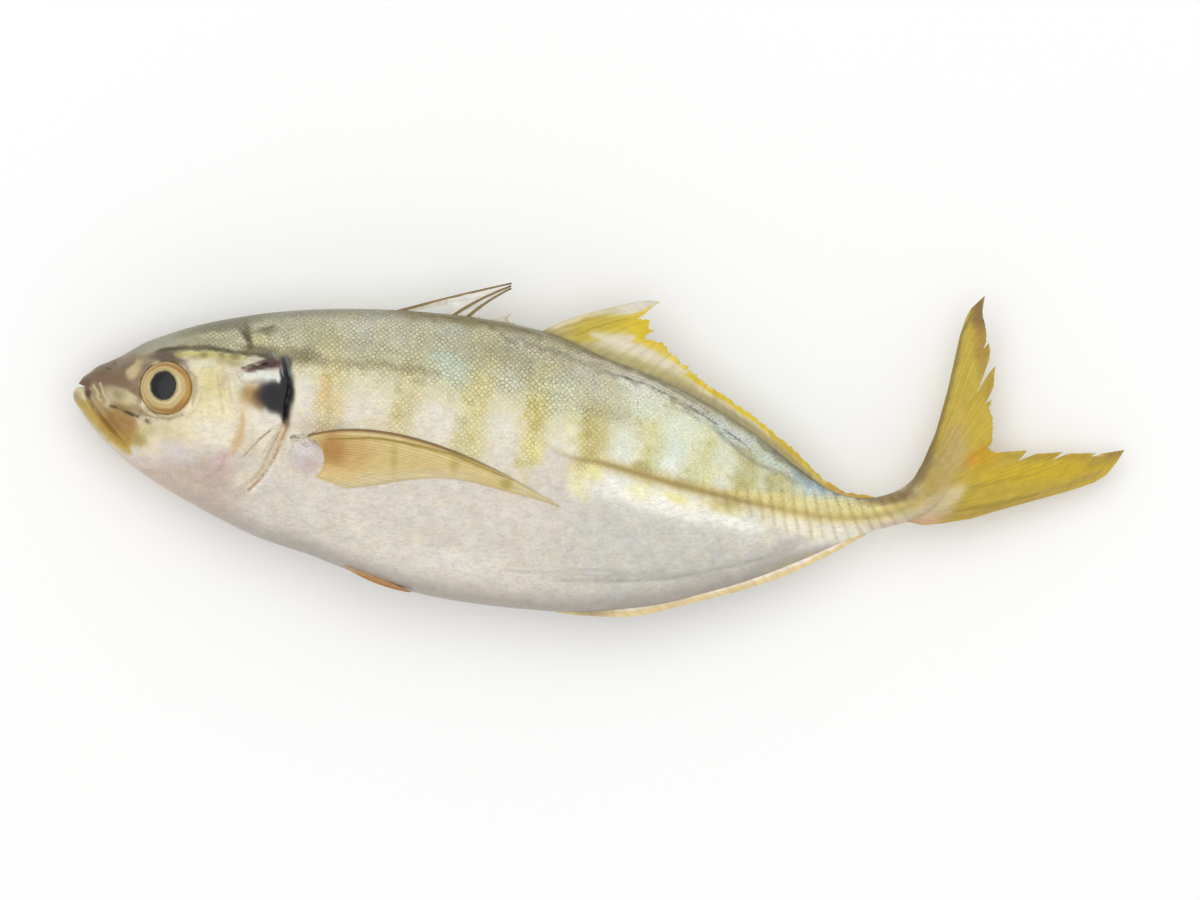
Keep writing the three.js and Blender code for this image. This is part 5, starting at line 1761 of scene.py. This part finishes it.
# The forked tail fin, with its slits, brown tips and orange fork
CAUDAL_FIN = FanFin(
    name="caudal_fin",
    root=(
        (74, -7.8), (76.8, -6), (79.3, -5), (80.9, -6.2), (81.4, -8.4), (80.6, -11.5), (77.5, -14.6),
        (73.2, -17.2),
    ),
    edge=(
        (0, 91.5, 36.6), (0.03, 90.9, 32.7), (0.09, 91.9, 27.8), (0.12, 91.9, 25.8), (0.14, 91.2, 24),
        (0.15, 92.5, 25.5), (0.18, 92.8, 23.7), (0.2, 92.7, 21.7), (0.235, 88.7, 11), (0.27, 94, 20),
        (0.31, 93.6, 14.8), (0.33, 91.6, 11), (0.35, 93.6, 12.5), (0.37, 92.5, 9.8), (0.4, 93.4, 7.9),
        (0.45, 93.4, 4.2), (0.48, 93.4, 2), (0.5, 92.3, 0.5), (0.53, 94.1, -0.7), (0.6, 101.9, -0.1),
        (0.615, 99.3, -2.8), (0.64, 103.7, -1), (0.69, 110.4, -0.5), (0.705, 107.6, -2.5),
        (0.73, 111.5, -0.9), (0.8, 118.2, -0.8), (0.81, 115.9, -2.1), (0.84, 119.6, -0.9), (1, 125.1, 0),
    ),
    lead=(
        (0, 0), (0.12, -0.017), (0.28, -0.021), (0.49, 0), (0.765, 0.043), (0.86, 0.048), (0.916, 0.04),
        (1, 0),
    ),
    low_lead=(
        (0, 0), (0.058, -0.034), (0.139, -0.053), (0.265, -0.073), (0.397, -0.077), (0.528, -0.084),
        (0.7, -0.093), (0.82, -0.093), (0.883, -0.08), (0.95, -0.04), (1, 0),
    ),
    thickness=(1.6, 0.45),
    rays=44,
    columns=460,
    rows=72,
    ground="#bea53a",
    root_colour="#b79f58",
    root_share=0.16,
    marks=(
        Patch("#c6ad45", (86, 14), (3.2, 14), -12, 0.7),
        Patch("#bfa873", (84.6, -0.6), (4.8, 8.4), -20, 0.8),
        Patch("#a8863a", (90.9, 24.4), (2, 6.4), 0, 0.8, 2),
        Patch("#866939", (90.4, 32.4), (2.3, 4.6), 0, 0.95, 2),
        Patch("#a8883c", (92.6, 14.6), (1.3, 4), 0, 0.6),
        Patch("#c9ae36", (89.4, 5), (3, 5.6), 0, 0.8),
        Patch("#c89c12", (91.4, -1.6), (4.6, 2.6), 30, 0.9),
        Patch("#c9862f", (88.4, -2.8), (2.2, 1.2), 35, 0.45),
        Patch("#c8ab20", (101, -5.6), (13, 2.8), 4, 0.85),
        Patch("#c8a919", (114, -3.9), (7.5, 2.1), 8, 0.85),
        Patch("#b08f2a", (108, -1.6), (14, 0.9), 0, 0.75),
        Patch("#a98f38", (118.6, -2.6), (4.4, 1.6), 12, 0.75),
        Patch("#a08442", (122.4, -0.9), (2.6, 1), 12, 0.85),
        Streak("#b1974a", ((78, -16.6), (92, -14.6), (106, -10.6), (119, -5.2)), 1.1, 0.8),
        Streak("#82702e", ((84, -14.6), (94, -13), (104, -10.4)), 0.5, 0.4),
        Streak("#97833a", ((86, -9.6), (95, -7.4), (102, -6)), 0.5, 0.3),
        Patch("#d6c594", (83.8, -11), (4.2, 1.7), 36, 0.9, 2),
        Patch("#cdbb90", (81, -13.2), (5, 1.3), 22, 0.8, 2),
        Patch("#c8b298", (78.6, -15.6), (5.6, 1.1), 12, 0.75),
        Patch("#d0a28a", (77, -17), (4.6, 0.7), 6, 0.7),
        Patch("#ddd2b4", (93.2, 11.8), (0.8, 0.7), 50, 0.8),
        Patch("#d9d0b4", (110.6, -0.9), (1.4, 0.4), 0, 0.7),
        Patch("#d9d0b4", (118.2, -1.2), (1.4, 0.4), 0, 0.7),
        Patch("#85714a", (76.9, -3.4), (1.5, 5.4), -26, 0.85, 2),
        Streak("#87733f",
               ((74.6, -7.4), (77.3, -2.8), (80.2, 4.3), (83, 14), (85.9, 26.9), (88.4, 32)), 0.6, 0.8),
    ),
    seed=60,
)

# The long second dorsal fin: scaly at its base, pale in the middle, and yellow at its ragged edge
SECOND_DORSAL_FIN = FanFin(
    name="second_dorsal_fin",
    root=(
        (-15.5, 27.2), (-6.8, 23.6), (-0.7, 21.2), (6.5, 18.2), (12.4, 15.8), (18.6, 13), (26.6, 8.6),
        (34.9, 3.6), (40.4, -0.2), (45.6, -4.8), (51.1, -9), (56.5, -11.6), (62.5, -13),
    ),
    edge=(
        (0, 14.6, 35.1), (0.03, 11.4, 32.4), (0.06, 9.2, 31.1), (0.1, 12.2, 30.8), (0.12, 11.6, 28.8),
        (0.14, 13.3, 28.3), (0.17, 11.7, 27.6), (0.19, 10.9, 26.2), (0.25, 15.2, 25.5), (0.28, 16.4, 23.4),
        (0.31, 17.8, 22.9), (0.34, 19.7, 20.5), (0.37, 21.9, 19.9), (0.39, 20.9, 19.3), (0.44, 23.8, 17.4),
        (0.49, 26.6, 14.8), (0.53, 29.2, 13.4), (0.58, 32.1, 11), (0.63, 35.2, 9.1), (0.7, 39.9, 5.4),
        (0.78, 45.6, 0.7), (0.86, 51.3, -5.3), (0.93, 57, -9.4), (0.97, 61.7, -10.5), (1, 66.5, -11.2),
    ),
    lead=(
        (0, 0), (0.11, 0.021), (0.245, 0.049), (0.436, 0.056), (0.624, 0.054), (0.81, 0.048), (0.92, 0.034),
        (1, 0),
    ),
    thickness=(1.9, 0.5),
    rays=30,
    columns=480,
    rows=48,
    fray=0.9,
    ground="#dbd0a8",
    edge_colour="#dabd2a",
    edge_share=0.26,
    root_colour="#b3a66e",
    root_share=0.12,
    marks=(
        Patch("#c9b23c", (-1, 28.8), (10.4, 3.1), 22, 0.95, 2.5),
        Patch("#d3ba28", (6.6, 29.6), (4.6, 1.8), 14, 0.85),
        Patch("#a9975a", (-10.6, 26.6), (5, 1), 22, 0.75),
        Streak("#9f8a2f", ((-12, 27.6), (-4, 30.4), (4, 32.6)), 0.4, 0.6),
        Streak("#8f7d34", ((-6, 27), (1, 29.6), (7, 31.2)), 0.3, 0.5),
        Streak("#e0d8c2", ((-2, 27.4), (4.4, 25.6), (11.9, 22.8), (20.6, 18.2)), 1.6, 0.8),
        Patch("#d6bb24", (12, 28.4), (2.6, 2.4), -40, 0.75),
        Streak("#96895a", ((-14, 27.1), (-4, 23.2), (8, 18.4), (20, 13.2)), 1.2, 0.6),
        Streak("#988a58", ((20, 13.6), (32, 7.2), (42, -0.6), (52, -8.2)), 0.9, 0.55),
        Patch("#cbac3a", (46, -1.6), (9, 2), -42, 0.75),
        Patch("#b68f33", (58, -9.9), (7, 1.2), -16, 0.85),
        Streak("#b3a871",
               ((-9, 26.2), (-6.3, 25), (5.6, 20.9), (17.4, 16.4), (25.4, 12)), 1.9, 0.9, 1.5),
        Streak("#a1966a",
               ((12, 17.6), (25.4, 11.6), (33.3, 6.9), (41.1, 1), (50, -6.4)), 1.2, 0.85, 1.5),
        Patch("#d8d3c6", (9.4, 34.2), (6.6, 1.6), 18, 0.97, 2.5),
        Patch("#d8d3c6", (2.6, 32.9), (4.6, 0.8), 16, 0.6),
    ),
    seed=70,
)

# The anal fin, folded close under the belly, with a golden edge
ANAL_FIN = FanFin(
    name="anal_fin",
    root=((-13, -35.8), (0, -35.8), (10, -35.2), (22, -33.2), (36, -29.2), (48, -24.6), (60, -19.2)),
    edge=(
        (0, -10, -38.8), (0.05, -6.9, -39.2), (0.1, -2.8, -39.5), (0.15, 0.1, -39.7), (0.22, 5.8, -39.8),
        (0.28, 11.4, -39.2), (0.35, 14.8, -38.3), (0.45, 22.4, -36.3), (0.6, 33.4, -33.6),
        (0.75, 43.8, -30.2), (0.87, 54.1, -25.4), (1, 63.4, -20.2),
    ),
    thickness=(1.9, 0.6),
    rays=26,
    columns=300,
    rows=24,
    fray=0.15,
    ripple=0.15,
    ground="#f3ebd9",
    edge_colour="#e3cc98",
    edge_share=0.35,
    root_colour="#efeae0",
    root_share=0.2,
    marks=(
        Patch("#9d8a6c", (-2, -38.9), (4, 0.9), 0, 0.6),
        Patch("#dcc78c", (36, -32.2), (14, 1.4), 16, 0.4),
    ),
    seed=80,
)

# Fins folded on the body


@dataclass(frozen=True)
class FoldedFin:
    """A paired fin that lies folded back on its flank, along key rays of four control points each."""

    name: str
    key_rays: tuple[tuple[float, ...], ...]
    rays: int
    columns: int
    rows: int
    ground: str
    marks: tuple[Patch | Streak, ...]
    edge_colour: str = "#6f512f"
    edge_share: float = 0.8
    lift: float = 0.8
    sink: float = 2.0
    spread: Point | None = None
    pattern_length: float = 60.0

    def outline(self) -> tuple[Array, Array, Array, Array]:
        """Points of the fin in side view.

        A ray is a cubic curve with the weights (1-t)^3, 3(1-t)^2 t, 3(1-t) t^2 and t^3, and the control
        points between two key rays come from a spline through theirs.

        Returns:
            x, y, the place across the rays and the share along them, in the order column, row.
        """
        place = np.linspace(0.0, 1.0, self.columns)
        t = np.linspace(0.0, 1.0, self.rows)
        control = spline(self.key_rays, place * (len(self.key_rays) - 1)).reshape(-1, 4, 2)
        s = 1.0 - t
        weights = np.stack([s**3, 3 * s * s * t, 3 * s * t * t, t**3], -1)
        points = np.einsum("rk,ckd->crd", weights, control)
        x, y = points[..., 0], points[..., 1]
        return x, y, place[:, None] + 0 * x, t[None, :] + 0 * x

    def build(self, body: Body, side: Side) -> bpy.types.Object:
        """Makes the fin of one side.

        A fin on the flank has its inner face under the skin, and an outer face that follows the flank,
        higher by its lift in the middle and thin at its edges. A fin under the belly is a plate beside the
        mid-plane.

        Args:
            body: The body that it lies on.
            side: Its flank.

        Returns:
            The fin.
        """
        sign = float(side.value)
        x, y, place, t = self.outline()
        count = place * self.rays
        ridge = 0.07 * np.cos(2 * np.pi * count) * smooth(t, 0.05, 0.3)
        rim = smooth(np.minimum(place, 1.0 - place), 0, 0.07) * smooth(t, 1, 0.93) * smooth(t, 0, 0.05)
        if self.spread is None:
            flank = body.half_thickness(x, y)
            outer = mid_plane(x) + sign * (flank + 0.2 + (self.lift - 0.2) * rim + ridge)
            inner = mid_plane(x) + sign * (flank - self.sink)
        else:
            away = self.spread[0] + (self.spread[1] - self.spread[0]) * place
            half = (0.75 - 0.3 * t) * (0.4 + 0.6 * rim) + ridge
            outer = mid_plane(x) + sign * (away + half)
            inner = mid_plane(x) + sign * (away - half)
        faces = [np.stack([x, y, rest_on_table(z) + gap], -1) for z, gap in ((outer, 0.0), (inner, 0.02))]
        surface = closed_sheet(*faces)
        coat = Coat(x.ravel(), y.ravel(), self.ground)
        coat.lay_marks(self.marks, 0.1, 91)
        near_edge = smooth(place, 0.045, 0.02) * self.edge_share * smooth(t, 1, 0.6)
        coat.lay(self.edge_colour, near_edge.ravel())
        surface.dress(coat.linear(), np.stack([count, t * self.pattern_length], -1))
        name = self.name + "_" + side.name.lower()
        return carry(surface.to_object(name, body.finishes.folded_fin, sharp_over=60.0))


# The long pectoral fin: straw-coloured, orange at its root, with a dark front edge and a pale lower one
PECTORAL_FIN = FoldedFin(
    name="pectoral_fin",
    key_rays=(
        (-69, 3.4, -55, 7.7, -34, 2.8, -9.4, -13.6),
        (-67, 2, -55, 4.2, -36, -0.9, -13, -12.4),
        (-65.8, 0.4, -55, 1.4, -40, -2.5, -21, -10.2),
        (-65.2, -1.3, -56, -1, -44, -3.2, -29, -8),
        (-65.2, -3, -58, -3, -48, -4.2, -37, -6.8),
        (-65.6, -4.5, -60, -4.6, -53, -5.4, -45, -7.2),
        (-66.4, -5.7, -62.4, -6.4, -57.4, -7.2, -53, -8.4),
        (-67.4, -6.4, -65, -7.4, -62, -8.4, -59.6, -9.2),
    ),
    rays=22,
    columns=200,
    rows=150,
    ground="#dac488",
    marks=(
        Patch("#d2c296", (-51, -7.9), (15, 2.6), 3, 0.95, 1.5),
        Patch("#dfd0a8", (-36, -6.4), (8, 1.7), -4, 0.8),
        Patch("#d9cca2", (-17, -9.6), (9, 2.8), -38, 0.85),
        Patch("#c9a262", (-59, -0.6), (5.4, 4.4), 0, 0.75),
        Patch("#ad7b3e", (-63.2, 0), (3.3, 4.6), 0, 0.85, 1.5),
        Patch("#dcbd84", (-62, -5.4), (4.6, 1.5), -14, 0.8),
        Patch("#d3be8c", (-52, 3.2), (9, 0.8), -8, 0.7),
        Streak("#93792b", ((-64.4, 2.5), (-53.3, 2.6), (-43.8, 1.1), (-34.3, -1.5), (-22.5, -6.6)), 0.4, 0.8),
        Patch("#b0a150", (-48.6, -2.1), (1, 3.2), 0, 0.45),
        Patch("#b0a150", (-34.4, -3.2), (1.2, 2.6), 0, 0.5),
        Patch("#a1913c", (-22, -8), (1.6, 1.4), 0, 0.6),
    ),
)

# The short pelvic fin, folded back under the belly, orange-brown and paler at its root
PELVIC_FIN = FoldedFin(
    name="pelvic_fin",
    key_rays=(
        (-61, -26.4, -56, -28.8, -51, -30.8, -44.6, -33.7),
        (-61, -27.2, -56, -30.4, -50, -32.3, -45.6, -33.8),
        (-60.4, -27.9, -56.6, -30.6, -52, -32.3, -48.3, -33.2),
    ),
    rays=6,
    columns=48,
    rows=60,
    ground="#c69867",
    marks=(Patch("#d2b595", (-58, -27.6), (3, 1.6), -26, 0.7),),
    edge_share=0.0,
    spread=(2.6, 3.2),
)

# The first dorsal fin


@dataclass(frozen=True)
class TornSkin:
    """A piece of the first dorsal fin's skin: its front and rear edges, going upwards, and its tones."""

    name: str
    front: Line
    rear: Line
    tone: str
    rear_tone: str


@dataclass
class FirstDorsalFin:
    """The first dorsal fin: torn grey skin between three spines that lie back, and a stub behind them."""

    finishes: Finishes
    spine_radius: float = 0.36
    skin_thickness: float = 0.4
    skin_place: float = -49.5
    spines: tuple[Line, ...] = (
        ((-50, 32.2), (-34, 36.6), (-20.9, 39.4)),
        ((-37, 30.2), (-30, 35.4), (-21, 38.8)),
        ((-33, 30), (-28.2, 34.6), (-21, 38.2)),
    )
    skins: tuple[TornSkin, ...] = (
        TornSkin(
            "first_dorsal_skin",
            ((-37.2, 30.6), (-36.3, 32), (-36.2, 33), (-36.4, 34.4), (-36.2, 36)),
            ((-27.4, 28.8), (-28.5, 31.8), (-28.1, 33.8), (-25.4, 35.7), (-20.8, 38.7)),
            "#e6e1d7",
            "#d3ccbe",
        ),
        TornSkin(
            "first_dorsal_strip",
            ((-47.8, 32.3), (-44.9, 32.7), (-42, 33.3), (-39.2, 33.9), (-36.2, 34.3)),
            ((-48.4, 32.6), (-45.3, 33.5), (-42.2, 34.3), (-39.2, 35.1), (-36.1, 35.8)),
            "#d6cfbf",
            "#a3915f",
        ),
        TornSkin(
            "first_dorsal_stub",
            ((-28.4, 29), (-28.2, 29.6), (-28, 30.1), (-27.8, 30.4), (-27.5, 30.5)),
            ((-20.4, 28.4), (-20.2, 29.9), (-21.4, 30.1), (-22.1, 31), (-20.8, 32.3)),
            "#dad4c6",
            "#a68a2c",
        ),
    )

    def spine_surface(self, points: Line) -> Surface:
        """A spine: rings round a curve of three control points, that thin to a point at the tip.

        Args:
            points: The curve's control points, from the root.

        Returns:
            The spine, with its colours.
        """
        t = np.linspace(0.0, 1.0, 60)[:, None]
        root, middle, tip = (np.array(point) for point in points)
        path = (1 - t) ** 2 * root + 2 * t * (1 - t) * middle + t**2 * tip
        slope = np.gradient(path, axis=0)
        slope /= np.linalg.norm(slope, axis=1)[:, None]
        angle = np.linspace(0.0, 2 * np.pi, 14, endpoint=False)
        radius = self.spine_radius * (1.0 - 0.45 * t)
        across = radius * np.cos(angle)[None, :]
        height = float(mid_plane(root[0]))
        x = path[:, :1] - slope[:, 1:] * across
        y = path[:, 1:] + slope[:, :1] * across
        z = height + radius * np.sin(angle)[None, :]
        ends = [np.array([*path[k], height]) for k in (0, -1)]
        surface = closed_tube(np.stack([x, y, z], -1), ends[0], ends[1])
        side = (np.cos(angle)[None, :] + 0 * x).ravel()
        coat = Coat(x.ravel(), y.ravel(), "#a38a4c")
        coat.lay("#4a3b25", smooth(side, 0.1, 0.8) * 0.9)
        coat.lay("#594829", smooth(side, -0.3, -0.9) * 0.85)
        coat.lay("#4b3c2c", smooth((t + 0 * x).ravel(), 0.93, 1) * 0.85)
        surface.dress(coat.linear(), np.stack([0.5 + 0 * x, t * 30.0 + 0 * x], -1))
        return surface

    def skin_surface(self, skin: TornSkin) -> Surface:
        """A piece of skin: straight lines from its front to its rear, both cut by the same shares upwards.

        Args:
            skin: Its edges and tones.

        Returns:
            The skin, with its colours.
        """
        up = np.linspace(0.0, 1.0, 40)
        along = np.linspace(0.0, 1.0, 60)[:, None]
        front, rear = (
            np.stack([np.interp(up * (len(edge) - 1), range(len(edge)), side) for side in np.array(edge).T])
            for edge in (skin.front, skin.rear)
        )
        x, y = (1 - along) * front[:, None] + along * rear[:, None]
        half = 0.5 * self.skin_thickness
        middle = float(mid_plane(self.skin_place)) + 0.12 * wander(x, y, 2.4, 95)
        surface = closed_sheet(np.stack([x, y, middle + half], -1), np.stack([x, y, middle - half], -1))
        coat = Coat(x.ravel(), y.ravel(), skin.tone)
        coat.lay(skin.rear_tone, smooth((along + 0 * x).ravel(), 0.9, 1) * 0.7)
        # Painted shade: greyer towards the skin's foot, where it rises from the back
        coat.lay("#a29b8e", smooth((up + 0 * x).ravel(), 0.16, 0) * 0.5)
        surface.dress(coat.linear(), np.stack([0.5 + 3.0 * up + 0 * x, 14.0 * along + 0 * x], -1))
        return surface

    def build(self) -> list[bpy.types.Object]:
        """Makes the spines and the pieces of skin.

        Returns:
            The pieces.
        """
        numbered = enumerate(self.spines, 1)
        named = [(f"first_dorsal_spine_{k}", self.spine_surface(line)) for k, line in numbered]
        named += [(skin.name, self.skin_surface(skin)) for skin in self.skins]
        pieces = [surface.to_object(name, self.finishes.fin, sharp_over=60.0) for name, surface in named]
        return [carry(piece) for piece in pieces]


# The studio


@dataclass
class Studio:
    """A white table under soft light, and a camera that looks straight down from far off."""

    view_width: float = 284.6
    view_height_above: float = 4000.0
    view_centre: Point = (0.06, -0.12)
    focus_height: float = MID_PLANE_HEIGHT
    sensor_width: float = 36.0
    world_strength: float = 0.72
    light_power: float = 15.0
    light_size: float = 2.5
    light_place: tuple[float, float, float] = (-0.1, 0.3, 1.8)
    light_lean: Point = (-9.5, -3.2)
    table_half_side: float = 2500.0
    table_top: float = -0.05
    table_foot: float = -20.0

    def build_camera(self) -> None:
        """Makes the camera: the width it sees at the fish's mid-plane gives its focal length."""
        data = bpy.data.cameras.new("camera")
        data.sensor_width = self.sensor_width
        data.lens = self.sensor_width * self.view_height_above / self.view_width
        data.clip_end = 5.0 * self.view_height_above * MM
        camera = bpy.data.objects.new("camera", data)
        height = self.focus_height + self.view_height_above
        camera.location = [value * MM for value in (*self.view_centre, height)]
        bpy.context.scene.collection.objects.link(camera)
        bpy.context.scene.camera = camera

    def build_lights(self) -> None:
        """Makes a white surround and a large soft lamp, a little towards the back of the fish."""
        world = bpy.data.worlds.new("studio")
        world.use_nodes = True
        background = world.node_tree.nodes["Background"]
        background.inputs["Color"].default_value = (1.0, 1.0, 1.0, 1.0)
        background.inputs["Strength"].default_value = self.world_strength
        bpy.context.scene.world = world
        data = bpy.data.lights.new("soft_lamp", "AREA")
        data.shape = "DISK"
        data.size = self.light_size
        data.energy = self.light_power
        lamp = bpy.data.objects.new("soft_lamp", data)
        lamp.location = self.light_place
        lamp.rotation_euler = [math.radians(angle) for angle in (*self.light_lean, 0.0)]
        lamp.visible_camera = False
        bpy.context.scene.collection.objects.link(lamp)

    def build_table(self) -> None:
        """Makes the table top, a wide thin slab just under the fish."""
        corners = self.table_half_side * np.array([[-1, -1], [1, -1], [1, 1], [-1, 1]])
        top, bottom = (np.column_stack([corners, np.full(4, z)]) for z in (self.table_top, self.table_foot))
        faces = np.array([[0, 1, 2, 3], [7, 6, 5, 4], [0, 4, 5, 1], [1, 5, 6, 2], [2, 6, 7, 3], [3, 7, 4, 0]])
        table = Surface(np.vstack([top, bottom]), faces).to_object("table", TableFinish().build(), 30.0)

    def build(self) -> None:
        """Makes the camera, the lights and the table."""
        self.build_camera()
        self.build_lights()
        self.build_table()
        bpy.context.scene.view_settings.view_transform = "Standard"


def main() -> None:
    """Builds the fish and the studio."""
    logging.basicConfig(level=logging.INFO, format="%(message)s")
    Studio().build()
    finishes = Finishes(
        skin=SkinFinish().build(),
        fin=FinFinish().build(),
        folded_fin=FinFinish("folded_fin_membrane", seam_share=0.8, seam_fade=(9.0, 18.0)).build(),
        eye=EyeFinish().build(),
    )
    body = Body(finishes)
    body.build()
    for side in Side:
        Eye(body, side).build()
        PECTORAL_FIN.build(body, side)
        PELVIC_FIN.build(body, side)
    for fin in (CAUDAL_FIN, SECOND_DORSAL_FIN, ANAL_FIN):
        fin.build(finishes)
    FirstDorsalFin(finishes).build()


if __name__ == "__main__":
    main()
